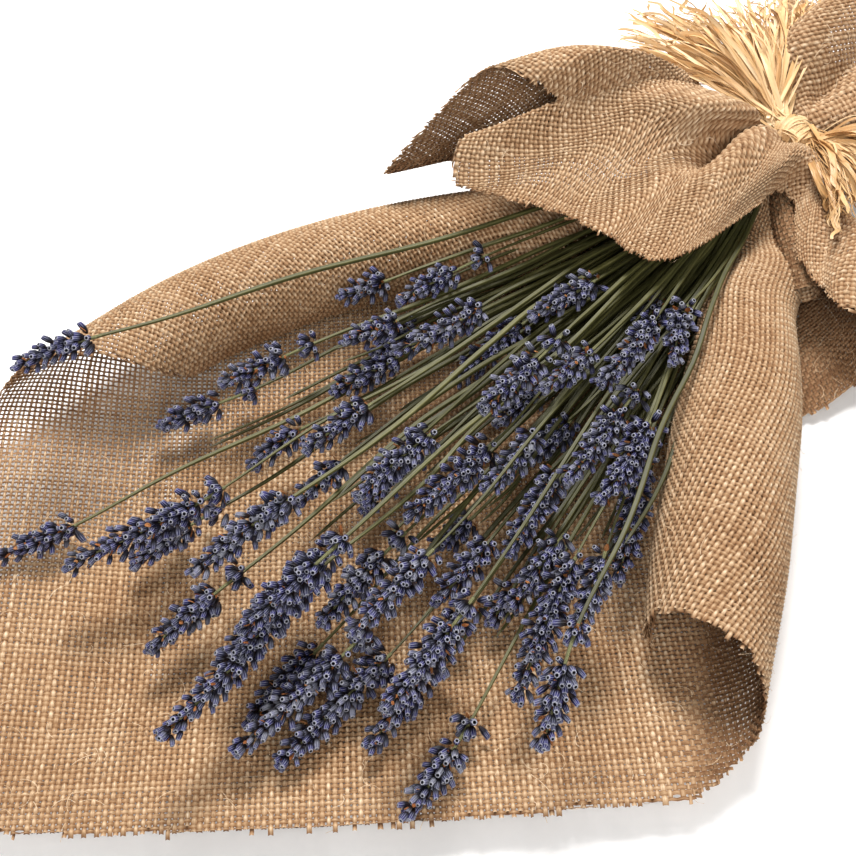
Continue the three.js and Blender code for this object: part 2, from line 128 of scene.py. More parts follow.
def beside(centre: np.ndarray, heading: np.ndarray, radius: np.ndarray,
           turn: np.ndarray) -> np.ndarray:
    """Points round a path.

    Args:
        centre: points on the path.
        heading: the path's directions there.
        radius: how far each point is from the path.
        turn: how far round the path each is.

    Returns:
        The points, one a row.
    """
    level, steep = frame_of(heading)
    turn = turn[:, None]
    return centre + radius[:, None] * (level * np.cos(turn) + steep * np.sin(turn))


@dataclass
class Course:
    """A smooth curve through points, its knots spaced by the root of their distance."""

    points: np.ndarray

    def at(self, share: np.ndarray) -> np.ndarray:
        """Points on the curve.

        Args:
            share: from 0 at the first point to 1 at the last, even in knots.

        Returns:
            The points, one a row.
        """
        p = np.vstack([2 * self.points[0] - self.points[1], self.points,
                       2 * self.points[-1] - self.points[-2]])
        place = np.clip(np.asarray(share, float), 0, 1) * (len(self.points) - 1)
        i = np.minimum(place.astype(int), len(self.points) - 2)
        w = (place - i)[:, None]
        a, b, c, d = (p[i + k] for k in range(4))
        gap = [np.maximum(np.sqrt(np.linalg.norm(v - u, axis=1)), 1e-4)[:, None]
               for u, v in ((a, b), (b, c), (c, d))]
        leave = ((b - a) / gap[0] - (c - a) / (gap[0] + gap[1]) + (c - b) / gap[1]) * gap[1]
        reach = ((c - b) / gap[1] - (d - b) / (gap[1] + gap[2]) + (d - c) / gap[2]) * gap[1]
        return (b + leave * w + (3 * (c - b) - 2 * leave - reach) * w ** 2
                + (2 * (b - c) + leave + reach) * w ** 3)


# ---- shader values ----------------------------------------------------------
class Value:
    """A number that varies over a surface, worked with as a Python number."""

    def __init__(self, tree: bpy.types.NodeTree, socket: bpy.types.NodeSocket) -> None:
        """Wrap a socket of a node tree."""
        self.tree = tree
        self.socket = socket

    def math(self, operation: str, *operands: "Value | float", limited: bool = False) -> "Value":
        """Add a Math node.

        Args:
            operation: the node's operation.
            operands: numbers or values, in the order of the node's sockets.
            limited: whether the result is kept between 0 and 1.

        Returns:
            The node's result.
        """
        node = self.tree.nodes.new("ShaderNodeMath")
        node.operation = operation
        node.use_clamp = limited
        for place, operand in enumerate(operands):
            if isinstance(operand, Value):
                self.tree.links.new(operand.socket, node.inputs[place])
            else:
                node.inputs[place].default_value = operand
        return Value(self.tree, node.outputs[0])

    def __add__(self, other: "Value | float") -> "Value":
        """Self plus other."""
        return self.math("ADD", self, other)

    __radd__ = __add__

    def __sub__(self, other: "Value | float") -> "Value":
        """Self minus other."""
        return self.math("SUBTRACT", self, other)

    def __rsub__(self, other: "Value | float") -> "Value":
        """Other minus self."""
        return self.math("SUBTRACT", other, self)

    def __mul__(self, other: "Value | float") -> "Value":
        """Self times other."""
        return self.math("MULTIPLY", self, other)

    __rmul__ = __mul__

    def __pow__(self, other: "Value | float") -> "Value":
        """Self to the power of other."""
        return self.math("POWER", self, other)

    def wave(self) -> "Value":
        """The sine of the value."""
        return self.math("SINE", self)

    def over(self, low: float, high: float) -> "Value":
        """From 0 where the value is low to 1 where it is high."""
        return self.math("DIVIDE", self - low, high - low, limited=True)


class Surface:
    """A material's node tree, with one method that makes its nodes."""

    def __init__(self, name: str) -> None:
        """Start a material that holds its shader and output only.

        Args:
            name: its name.
        """
        self.material = bpy.data.materials.new(name)
        self.material.use_nodes = True
        self.tree = self.material.node_tree
        self.shader = self.tree.nodes["Principled BSDF"]

    def node(self, kind: str, settings: dict, sockets: dict) -> bpy.types.Node:
        """Add a node.

        Args:
            kind: the node's type.
            settings: its settings; "stops" holds a ramp's places and colours.
            sockets: values or links of its input sockets, by name or number.

        Returns:
            The node.
        """
        made = self.tree.nodes.new(kind)
        for name, setting in settings.items():
            if name == "stops":
                elements = made.color_ramp.elements
                while len(elements) < len(setting):
                    elements.new(0.5)
                for element, (place, colour) in zip(elements, setting):
                    element.position = place
                    element.color = (*colour, 1.0)
            else:
                setattr(made, name, setting)
        for name, given in sockets.items():
            if isinstance(given, Value):
                given = given.socket
            if isinstance(given, bpy.types.NodeSocket):
                self.tree.links.new(given, made.inputs[name])
            else:
                made.inputs[name].default_value = given
        return made

    def value(self, socket: bpy.types.NodeSocket) -> Value:
        """Wrap a socket as a value."""
        return Value(self.tree, socket)

    def flat(self, scale: tuple[float, float]) -> bpy.types.NodeSocket:
        """The piece's own flat map.

        Args:
            scale: how much it is scaled across and along.

        Returns:
            The map's place, as a vector.
        """
        base = self.node("ShaderNodeUVMap", {"uv_map": MAP_NAME}, {})
        vector = self.node("ShaderNodeMapping", {}, {0: base.outputs[0], "Scale": (*scale, 1.0)})
        return vector.outputs[0]

    def solid(self, scale: Triple) -> bpy.types.NodeSocket:
        """The object's own coordinates.

        Args:
            scale: how much they are scaled.

        Returns:
            The place, as a vector.
        """
        base = self.node("ShaderNodeTexCoord", {}, {})
        vector = self.node("ShaderNodeMapping", {}, {0: base.outputs["Object"], "Scale": scale})
        return vector.outputs[0]

    def axes(self, vector: bpy.types.NodeSocket) -> list[Value]:
        """The three numbers of a vector."""
        parts = self.node("ShaderNodeSeparateXYZ", {}, {0: vector})
        return [self.value(part) for part in parts.outputs]

    def stripes(self, count: float) -> Value:
        """A sine wave with so many crests across the flat map."""
        return self.axes(self.flat((count * math.tau, 1.0)))[0].wave()

    def noise(self, vector: bpy.types.NodeSocket, detail: float = 2.0) -> Value:
        """A noise of about one bump to each unit of the vector.

        Args:
            vector: where it is read.
            detail: how many finer noises lie over it.

        Returns:
            The noise.
        """
        made = self.node("ShaderNodeTexNoise", {},
                         {"Vector": vector, "Scale": 1.0, "Detail": detail, "Roughness": 0.6})
        return self.value(made.outputs[0])

    def attribute(self, name: str) -> Value:
        """A number kept in the mesh."""
        made = self.node("ShaderNodeAttribute", {"attribute_name": name}, {})
        return self.value(made.outputs["Fac"])

    def ramp(self, value: Value, stops: Stops) -> bpy.types.NodeSocket:
        """A colour ramp over a value."""
        return self.node("ShaderNodeValToRGB", {"stops": stops}, {0: value}).outputs[0]

    def mix(self, low: bpy.types.NodeSocket, high: Triple | bpy.types.NodeSocket,
            share: Value) -> bpy.types.NodeSocket:
        """Mix two colours.

        Args:
            low: the colour where the share is 0.
            high: the colour where it is 1, fixed or varying.
            share: how much of the second.

        Returns:
            The mixed colour.
        """
        if isinstance(high, tuple):
            high = (*high, 1.0)
        mixed = self.node("ShaderNodeMix", {"data_type": "RGBA"}, {0: share, 6: low, 7: high})
        return mixed.outputs[2]

    def finish(self, colour: bpy.types.NodeSocket, roughness: float,
               height: Value | None = None, gloss: float = 0.5) -> bpy.types.Material:
        """Feed the shader.

        Args:
            colour: the base colour's socket.
            roughness: how dull it is.
            height: bump height in millimetres, if any.
            gloss: how much of the light the surface mirrors; 0.5 is plain.

        Returns:
            The material.
        """
        self.tree.links.new(colour, self.shader.inputs["Base Color"])
        self.shader.inputs["Roughness"].default_value = roughness
        self.shader.inputs["Specular IOR Level"].default_value = gloss
        if height is not None:
            relief = self.node("ShaderNodeBump", {},
                               {"Strength": 1.0, "Distance": METRES, "Height": height})
            self.tree.links.new(relief.outputs[0], self.shader.inputs["Normal"])
        return self.material


# ---- meshes and pieces ------------------------------------------------------
def stored(name: str, shape: bmesh.types.BMesh) -> bpy.types.Mesh:
    """Turn a shape into a mesh.

    Args:
        name: the mesh's name.
        shape: the shape, which is freed.

    Returns:
        The mesh.
    """
    mesh = bpy.data.meshes.new(name)
    shape.to_mesh(mesh)
    shape.free()
    return mesh


def added(name: str, data: bpy.types.ID) -> bpy.types.Object:
    """Add an object to the scene.

    Args:
        name: its name.
        data: its mesh, light or camera.

    Returns:
        The object.
    """
    made = bpy.data.objects.new(name, data)
    bpy.context.scene.collection.objects.link(made)
    return made


# ---- strips: yarns, stems, raffia and fibres --------------------------------
@dataclass
class Corners:
    """Which strip, which corner across it and which station along it, one a vertex."""

    strip: np.ndarray
    across: np.ndarray
    station: np.ndarray


@dataclass
class Placed:
    """Where the corners of the strips go, in millimetres, and what they carry."""

    points: np.ndarray
    flat: np.ndarray
    keep: np.ndarray
    marks: dict[str, np.ndarray] = field(default_factory=dict)


@dataclass
class Strips:
    """Many narrow strips side by side, made from one grid and bent by a rule."""

    count: int
    across: int
    along: int
    closed: bool = False

    def mesh(self, name: str, place: Callable[[Corners], Placed]) -> bpy.types.Mesh:
        """Make the strips' mesh.

        Args:
            name: the mesh's name.
            place: the rule that places the corners.

        Returns:
            The mesh, in metres.
        """
        columns = self.count * self.across
        grid = bmesh.new()
        bmesh.ops.create_grid(grid, x_segments=columns - 1, y_segments=self.along - 1, size=1.0)
        mesh = stored(name, grid)
        at = np.empty(len(mesh.vertices) * 3)
        mesh.vertices.foreach_get("co", at)
        at = at.reshape(-1, 3)
        column = np.rint((at[:, 0] + 1) / 2 * (columns - 1)).astype(int)
        station = np.rint((at[:, 1] + 1) / 2 * (self.along - 1)).astype(int)
        strip = column // self.across
        placed = place(Corners(strip, column % self.across, station))
        self._carry(mesh, placed)
        corner = self._loops(mesh)
        faces = corner.reshape(-1, 4)
        drop = ~placed.keep[faces].all(axis=1) | (np.ptp(strip[faces], axis=1) > 0)
        return self._trim(mesh, drop)

    def _loops(self, mesh: bpy.types.Mesh) -> np.ndarray:
        """The vertex of each face corner.

        Args:
            mesh: the strips' mesh.

        Returns:
            The vertices' numbers.
        """
        corner = np.empty(len(mesh.loops), int)
        mesh.loops.foreach_get("vertex_index", corner)
        return corner

    def _carry(self, mesh: bpy.types.Mesh, placed: Placed) -> None:
        """Write the places, the flat map and the marks into the mesh.

        Args:
            mesh: the strips' mesh.
            placed: what the rule gave for its corners.
        """
        mesh.vertices.foreach_set("co", (placed.points * METRES).ravel())
        layer = mesh.uv_layers.new(name=MAP_NAME)
        layer.data.foreach_set("uv", placed.flat[self._loops(mesh)].ravel())
        for name, marks in placed.marks.items():
            attribute = mesh.attributes.new(name, "FLOAT", "POINT")
            attribute.data.foreach_set("value", np.asarray(marks, np.float32))

    def _trim(self, mesh: bpy.types.Mesh, drop: np.ndarray) -> bpy.types.Mesh:
        """Delete the faces between strips and beyond their ends, and smooth the rest.

        Args:
            mesh: the strips' mesh.
            drop: which faces go.

        Returns:
            The same mesh.
        """
        shaped = bmesh.new()
        shaped.from_mesh(mesh)
        shaped.faces.ensure_lookup_table()
        gone = [shaped.faces[i] for i in np.flatnonzero(drop)]
        bmesh.ops.delete(shaped, geom=gone, context="FACES")
        if self.closed:
            bmesh.ops.remove_doubles(shaped, verts=shaped.verts, dist=1e-6)
        for face in shaped.faces:
            face.smooth = True
        shaped.to_mesh(mesh)
        shaped.free()
        return mesh


def join(name: str, meshes: list[bpy.types.Mesh]) -> bpy.types.Mesh:
    """Put several meshes into one.

    Args:
        name: the new mesh's name.
        meshes: the meshes, which are removed.

    Returns:
        The mesh that holds them all.
    """
    whole = bmesh.new()
    for mesh in meshes:
        whole.from_mesh(mesh)
        bpy.data.meshes.remove(mesh)
    return stored(name, whole)


def show(name: str, mesh: bpy.types.Mesh, material: bpy.types.Material,
         node: str) -> bpy.types.Object:
    """Add a finished mesh to the scene.

    Args:
        name: the piece's name.
        mesh: its mesh.
        material: its finish.
        node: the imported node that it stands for.

    Returns:
        The piece, riding on the bunch's one body.
    """
    piece = added(name, mesh)
    mesh.materials.clear()
    mesh.materials.append(material)
    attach(piece, "root")
    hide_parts(node)
    log.info("%s: %d faces", name, len(mesh.polygons))
    return piece


# ---- burlap -----------------------------------------------------------------
class Yarns(Enum):
    """The two families of yarns in a weave."""

    WARP = 0
    WEFT = 1


@dataclass(frozen=True)
class BurlapFinish:
    """Jute yarn: streaky tan fibres; painted shade at yarn edges and under crossings."""

    extent: float
    family: Yarns
    fibre: tuple[float, float] = (0.42, 7.0)
    fleck: tuple[float, float] = (1.1, 4.0)
    patch: float = 30.0
    lighter: float = 0.08
    # dark serves both the dark fibre flecks and the painted shade where a yarn dips under another
    dark: Triple = (0.110, 0.045, 0.015)
    # orange-brown painted shade, laid on the yarns' edges for a rounded look
    edge_shade: Triple = (0.230, 0.098, 0.030)
    brown: Triple = (0.340, 0.190, 0.090)
    tan: Triple = (0.570, 0.390, 0.232)
    pale: Triple = (0.890, 0.725, 0.525)

    def _along_yarn(self, surface: Surface, size: tuple[float, float]) -> bpy.types.NodeSocket:
        """The flat map in steps of a size across and along the yarns."""
        across, along = self.extent / size[0], self.extent / size[1]
        return surface.flat((across, along) if self.family is Yarns.WARP else (along, across))

    def material(self, name: str = "burlap") -> bpy.types.Material:
        """Make the material.

        Args:
            name: its name, before the family's.

        Returns:
            The material.
        """
        surface = Surface(f"{name}_{self.family.name.lower()}")
        fibre = surface.noise(self._along_yarn(surface, self.fibre), 3.0)
        fleck = surface.noise(self._along_yarn(surface, self.fleck))
        patch = surface.noise(surface.flat((self.extent / self.patch,) * 2))
        tone = surface.attribute("tone")
        crest = surface.attribute("crest")
        ridge = surface.attribute("ridge")
        shade = fibre.over(0.25, 0.75) * 0.5 + tone * 0.3 + patch.over(0.3, 0.7) * 0.14
        # painted shade: darker where a yarn dips under the other and towards its edges, lighter
        # along its crown
        shade = shade + (crest - 1.0) * 0.20 + ridge * 0.16
        shade = shade + (self.lighter if self.family is Yarns.WARP else -self.lighter)
        colour = surface.ramp(shade, ((0.0, self.dark), (0.3, self.brown),
                                      (0.62, self.tan), (1.0, self.pale)))
        # painted shade along each yarn's edges, for a rounded look
        colour = surface.mix(colour, self.edge_shade, (1.0 - ridge) ** 1.5 * 0.55)
        # painted shade where a yarn dips under the crossing one
        colour = surface.mix(colour, self.dark, ((1.0 - crest) * 0.5) ** 1.6 * 0.6)
        colour = surface.mix(colour, self.dark, fleck.over(0.62, 0.74) * 0.7)
        height = (crest * (math.pi / 2)).wave() * 0.32 + fibre * 0.16
        return surface.finish(colour, 0.88, height)


@dataclass
class Laid:
    """Where a cloth's flat points come to lie.

    inside is how far each is from the cut edge, facing which side of the cloth is
    seen there, 1 or -1, and loose how much slimmer the yarns are.
    """

    points: np.ndarray
    inside: np.ndarray
    facing: np.ndarray
    loose: Numbers = 0.0


Lay = Callable[[np.ndarray, np.ndarray], Laid]


@dataclass
class Weave:
    """Plain-woven burlap: single yarns that pass over and under each other.

    half is a yarn's half width in pitches, lift how far it goes over or under,
    crown and sink how its middle and its edges stand off, stub how far loose yarn
    ends reach, least the lowest height, and slack how much slimmer a yarn may be.
    """

    pitch: float = 2.05
    half: float = 0.395
    lift: float = 0.38
    crown: float = 0.50
    sink: float = 0.18
    wander: float = 0.07
    stub: float = 2.4
    least: float = 0.04
    slack: float = 0.40
    uneven: float = 0.08
    step: float = 0.4
    seed: int = 4

    def _normal(self, lay: Lay, p: np.ndarray, q: np.ndarray) -> np.ndarray:
        """The cloth's outward directions.

        Args:
            lay: the rule from flat points to the cloth's surface.
            p: the points' first flat measure.
            q: their second.

        Returns:
            The directions, one a row.
        """
        east = lay(p + self.step, q).points - lay(p - self.step, q).points
        north = lay(p, q + self.step).points - lay(p, q - self.step).points
        return unit(np.cross(east, north))

    def _raised(self, points: np.ndarray, normal: np.ndarray, by: np.ndarray) -> np.ndarray:
        """Points moved along their normals, and kept above the floor.

        Args:
            points: the points.
            normal: their directions.
            by: how far each moves.

        Returns:
            The moved points.
        """
        points = points + normal * by[:, None]
        points[:, 2] = np.maximum(points[:, 2], self.least)
        return points

    def family(self, name: str, which: Yarns, size: tuple[float, float], lay: Lay,
               map_size: float, map_at: tuple[float, float] = (0.0, 0.0)) -> bpy.types.Mesh:
        """Make one family of a cloth's yarns.

        Args:
            name: the mesh's name.
            which: warp runs along the second flat axis, weft along the first.
            size: the flat room that the cloth takes.
            lay: the rule from flat points to the cloth's surface.
            map_size: the flat map's width in millimetres.
            map_at: where the cloth starts in the map, in millimetres.

        Returns:
            The yarns' mesh.
        """
        wide, long = size if which is Yarns.WARP else size[::-1]
        count, along = int(wide / self.pitch), int(long / self.pitch)
        random = np.random.default_rng(self.seed + which.value)
        tone = np.clip(random.normal(0.5, 0.22, count), 0, 1)
        thick = random.normal(1.0, self.uneven, count)
        beat = random.uniform(0.05, 0.16, (count, 3))
        start = random.uniform(0, 6.28, (count, 4))
        stub = random.uniform(0, self.stub, (count, 2)) ** 1.2

        def place(corner: Corners) -> Placed:
            """Put each corner on its yarn.

            Args:
                corner: the corners.

            Returns:
                Their places.
            """
            i, k = corner.strip, corner.station
            run = (k + 0.5) * self.pitch
            sway = sum(np.sin(run * beat[i, n] + start[i, n]) for n in range(3)) / 3
            slub = thick[i] * (1 + self.uneven * np.sin(run * 0.09 + start[i, 3]))
            side = corner.across - 1.0
            line = (i + 0.5) * self.pitch
            middle = lay(line, run) if which is Yarns.WARP else lay(run, line)
            slub = slub * (1 - self.slack * middle.loose)
            lateral = ((i + 0.5) + self.wander * sway * 1.6 + side * self.half * slub) * self.pitch
            p, q = (lateral, run) if which is Yarns.WARP else (run, lateral)
            over = np.where((i + k) % 2 == which.value, 1.0, -1.0)
            laid = lay(p, q)
            crown = np.where(side == 0, self.crown, -self.sink) * laid.facing
            points = self._raised(laid.points, self._normal(lay, p, q), self.lift * over + crown)
            flat = np.stack([p + map_at[0], q + map_at[1]], axis=-1) / map_size
            end = np.where(k * 2 < along, stub[i, 0], stub[i, 1])
            # the crest and ridge marks feed the finish's painted shade: darker where a yarn dips
            # under the other and at its edges
            return Placed(points, flat, laid.inside > -end,
                          {"tone": np.clip(tone[i] + 0.1 * sway, 0, 1),
                           "crest": over * laid.facing, "ridge": 1 - np.abs(side)})

        return Strips(count, 3, along).mesh(name, place)

    def fuzz(self, name: str, count: int, size: tuple[float, float], lay: Lay,
             map_size: float) -> bpy.types.Mesh:
        """Loose fibres that stand off the cloth.

        Args:
            name: the mesh's name.
            count: how many are drawn, before those beside the cloth are dropped.
            size: the flat room that the cloth takes.
            lay: the rule from flat points to the cloth's surface.
            map_size: the flat map's width in millimetres.

        Returns:
            The fibres' mesh.
        """
        random = np.random.default_rng(self.seed + 50)
        stations, fibre, stand_off, beyond = 6, 0.16, 0.9, 4
        root = random.uniform(0, 1, (count, 2)) * size
        turn = random.uniform(0, math.tau, count)
        length = random.uniform(2.5, 9.0, count)
        curve = random.normal(0, 1.3, count)
        rise_by = random.choice([-1.0, 1.0], count) * random.uniform(0.2, 2.6, count)
        tone = random.uniform(0.3, 1.0, count)

        def place(corner: Corners) -> Placed:
            """Bend each fibre away from its root.

            Args:
                corner: the corners.

            Returns:
                Their places.
            """
            i, share = corner.strip, corner.station / (stations - 1)
            heading = turn[i] + curve[i] * share
            step = length[i] * share
            side = (corner.across - 0.5) * fibre
            p = root[i, 0] + step * np.cos(heading) - side * np.sin(heading)
            q = root[i, 1] + step * np.sin(heading) + side * np.cos(heading)
            p0, q0 = root[i, 0], root[i, 1]
            laid, base = lay(p, q), lay(p0, q0)
            off = rise_by[i] * share + np.sign(rise_by[i]) * stand_off
            points = self._raised(laid.points, self._normal(lay, p0, q0), off)
            near = np.linalg.norm(laid.points - base.points, axis=1) < 1.6 * length[i] + 1
            keep = (base.inside > 0) & (laid.inside > -beyond) & near
            return Placed(points, np.stack([p, q], axis=-1) / map_size, keep,
                          {"tone": tone[i], "crest": np.ones(len(i)), "ridge": np.ones(len(i))})

        return Strips(count, 2, stations).mesh(name, place)


@dataclass(frozen=True)
class Roll:
    """One side of the wrap, which lies flat and then rolls up, as in the solids.

    slant, floor and radius say how the side slants, how wide it lies and how wide it
    rolls at a distance from the tie. front and mouth say how far ahead the cut edge
    is at a share of the way out. The turns are in degrees.
    """

    sign: float
    row_ahead: float
    least_turn: float
    opened: float
    slant: Callable[[Numbers], Numbers]
    floor: Callable[[Numbers], Numbers]
    radius: Callable[[Numbers], Numbers]
    front: Callable[[Numbers], Numbers]
    mouth: Callable[[Numbers], Numbers]

    def edge(self, u: np.ndarray) -> np.ndarray:
        """How far ahead of the tie the cut edge is."""
        return np.where(u <= 0.5, self.front(u), self.mouth(u))


RIGHT = Roll(
    sign=1.0, row_ahead=1.33, least_turn=262.0, opened=10.0,
    slant=lambda y: math.radians(32) + 0 * y,
    floor=lambda y: 3 + 0.53 * y - 5 * rise(0, 60, y),
    radius=lambda y: 7 + 16.5 * rise(0, 200, y) - 3 * rise(260, 340, y),
    front=lambda u: CORNER - 168 * np.maximum(u, 0) ** 1.1,
    mouth=lambda u: 304 + 68 * np.maximum(0, 2 - 2 * u) ** 2.2,
)
LEFT = Roll(
    sign=-1.0, row_ahead=1.2, least_turn=150.0, opened=55.0,
    slant=lambda y: math.radians(24) * (1 - rise(150, 330, y)),
    floor=lambda y: 4 + 106 * rise(0, 280, y),
    radius=lambda y: 7 + 12.5 * rise(0, 160, y),
    front=lambda u: CORNER - 194 * u,
    mouth=lambda u: 350 - 79 * np.maximum(0, 2 * u - 1) ** 0.9,
)


@dataclass
class Wrap:
    """The square of burlap, laid cornerwise, rolled up at both sides and gathered.

    tail is how far it reaches behind the tie, lift how far its front edge curls up
    over the width lip, full_turn and held_turn how far it rolls up and reaches round
    the neck in degrees, grain how it is turned, opening where it leaves the neck, cut
    its flat size, which is not used, room and margin the flat room that is woven, pleat
    how deep its pleats are, and swell and fuller how much fuller its right roll is near
    the neck.
    """

    tail: float = 130.0
    lift: float = 11.0
    lip: float = 110.0
    full_turn: float = 300.0
    held_turn: float = 165.0
    grain: float = math.radians(-47.8)
    opening: tuple[float, float] = (10.0, 90.0)
    cut: tuple[float, float] = (0.45, 0.45)
    cut_area: float = 0.125
    room: tuple[float, float] = (500.0, 500.0)
    margin: float = 16.0
    map_size: float = 520.0
    fibres: int = 3600
    pleat: float = 0.07
    swell: float = 8.0
    fuller: float = 3.0
    slant_rounds: int = 14
    weave: Weave = field(default_factory=Weave)

    def turn(self, side: Roll, y: Numbers) -> Numbers:
        """How far a side's roll turns."""
        return np.radians(blend(side.least_turn, self.full_turn, rise(40, 180, y)))

    def edge_lift(self, u: Numbers, before: Numbers) -> Numbers:
        """How far the cloth curls up, at a distance before its front edge."""
        return self.lift * (1 - rise(0, self.lip, before)) * (1 - rise(0.5, 0.7, u))

    def gather(self, side: Roll, y: Numbers) -> tuple[Numbers, Numbers, Numbers, Numbers]:
        """How the gathered cloth lies round the neck.

        Args:
            side: the side.
            y: how far ahead of the tie.

        Returns:
            Its half width, half height, centre height and half turn.
        """
        ahead, behind = np.maximum(0, y - TIE.under), np.maximum(0, -y - TIE.under)
        return (TIE.wrap + 0.5 * ahead + 0.2 * behind, TIE.wrap + 0.15 * ahead + 0.1 * behind,
                TIE.height + 0.02 * behind,
                np.radians(self.held_turn - side.opened * rise(0, 40, ahead)))

    def _held(self, side: Roll, u: np.ndarray, y: np.ndarray) -> np.ndarray:
        """Points on the cloth where it is gathered round the neck.

        Args:
            side: the side.
            u: the share of the way out along the cloth.
            y: how far ahead of the tie.

        Returns:
            The points.
        """
        wide, high, centre, half_turn = self.gather(side, y)
        pleat = (1 + self.pleat * rise(4.0, 34.0, np.abs(y)) * np.sin(13.0 * u + 1.0)
                 * rise(0.1, 0.4, u))
        return in_front(pleat * wide * np.sin(u * half_turn), y,
                        centre - pleat * high * np.cos(u * half_turn))

    def _side(self, side: Roll, x: np.ndarray, ahead: np.ndarray) -> Laid:
        """Lay the flat points of one side.

        Args:
            side: the side.
            x: how far each point is from the cloth's middle line.
            ahead: how far it is ahead of the tie.

        Returns:
            The points' places.
        """
        out_x = np.abs(x)
        y = ahead + out_x * np.tan(side.slant(ahead))
        for _ in range(self.slant_rounds):
            y = blend(y, ahead + out_x * np.tan(side.slant(y)), 0.7)
        slant = side.slant(y)
        out = out_x / np.cos(slant)
        row = np.maximum(y, 0)
        behind = np.maximum(-y, 0)
        floor, radius, turn = side.floor(row), side.radius(row), self.turn(side, row)
        if side is RIGHT:
            fuller = self.fuller * rise(12, 50, row) * (1 - rise(80, 150, row))
            floor, radius = floor - fuller, radius + fuller
        rolled = radius * turn + 0.3 * behind
        lying = floor + np.minimum(1.2 * behind, rolled / 2)
        u = np.where(out <= lying, out / lying / 2, 0.5 + (out - lying) / rolled / 2)
        angle = np.maximum(0, 2 * u - 1) * turn
        across = np.where(u <= 0.5, 2 * u * floor, floor + radius * np.sin(angle))
        edge = side.edge(u)
        z = CLOTH / 2 + radius * (1 - np.cos(angle)) + self.edge_lift(u, edge - y)
        points = in_front(np.cos(slant) * across, y - np.sin(slant) * across, z)
        share = np.where(y > 0, 1 - rise(*self.opening, y), 1.0)
        points = blend(points, self._held(side, u, y), share[:, None])
        if side is RIGHT:
            points[:, 0] += (self.swell * rise(8, 45, y) * (1 - rise(75, 125, y))
                             * rise(0.25, 0.5, u))
        points[:, 0] *= side.sign
        ends = np.where(y > 0, 0.72 * (edge - y), y + self.tail * (1 - 0.88 * u))
        inside = np.minimum(ends, (1 - u) * 2 * rolled)
        facing = 1 - 2 * np.maximum(rise(0.46, 0.54, u), 1 - rise(30, 60, y))
        loose = np.zeros_like(y)
        if side is LEFT:
            loose = rise(0.19, 0.40, u) * rise(200, 275, y) * (1 - rise(0.70, 0.80, u))
        return Laid(points, inside, facing, loose)

    def lay(self, p: np.ndarray, q: np.ndarray) -> Laid:
        """Lay flat points.

        Args:
            p: how far each is from the front corner along one front edge.
            q: how far along the other.

        Returns:
            The points' places.
        """
        cos, sin = math.cos(self.grain), math.sin(self.grain)
        x = p * cos + q * sin
        ahead = CORNER + p * sin - q * cos
        right, left = self._side(RIGHT, x, ahead), self._side(LEFT, x, ahead)
        right_side = x >= 0
        return Laid(np.where(right_side[:, None], right.points, left.points),
                    np.where(right_side, right.inside, left.inside),
                    np.where(right_side, right.facing, left.facing),
                    np.where(right_side, right.loose, left.loose))

    def build(self) -> None:
        """Weave the wrap's warp and weft."""
        def lay(p: np.ndarray, q: np.ndarray) -> Laid:
            """Start a little outside the cloth, for its loose yarn ends."""
            return self.lay(p - self.margin, q - self.margin)

        for which in Yarns:
            name = f"burlap_wrap_{which.name.lower()}"
            mesh = self.weave.family(name, which, self.room, lay, self.map_size)
            if which is Yarns.WARP:
                fuzz = self.weave.fuzz(name, self.fibres, self.room, lay, self.map_size)
                mesh = join(name, [mesh, fuzz])
            finish = BurlapFinish(self.map_size, which)
            piece = show(name, mesh, finish.material(), "burlap_wrap")


# ---- the collar -------------------------------------------------------------
# The front rim: across, ahead of the tie, height, and how far the cloth between it
# and the tie bulges up.
COLLAR_RIM = np.array([
    (-84, 62, 12, 0), (-100, 100, 22, 4), (-106, 128, 34, 6), (-93, 151, 50, 8),
    (-84, 129, 74, 16), (-77, 107, 88, 22), (-61, 99, 86, 24), (-50, 92, 74, 16),
    (-50, 90, 64, 0), (-60, 112, 63, 0), (-66, 135, 74, 12), (-57, 147, 64, 8),
    (-42, 138, 60, 4), (-21, 125, 56, 2), (0, 120, 54, 0), (12, 118, 52, -2),
    (22, 112, 50, -3), (26, 97, 49, -2), (27, 80, 48, 1), (27, 58, 47, 4),
    (26, 40, 44, 2), (30, 34, 37, 0), (44, 50, 34, 3), (60, 62, 37, 4),
    (68, 64, 34, 2), (77, 70, 37, 6), (88, 67, 35, 11), (96, 61, 24, 10),
    (98, 71, 11, 5), (94, 94, 5, 1), (82, 112, 2, 0),
], float)
# The middle line of the small rolled tuck: across, ahead and height.
TUCK_PATH = ((9, 13, 31), (21, 28, 32), (36, 43, 31), (50, 54, 28), (61, 63, 24))


class CollarHalf(Enum):
    """The two halves of the collar, before and behind the tie."""

    FRONT = 1
    REAR = -1


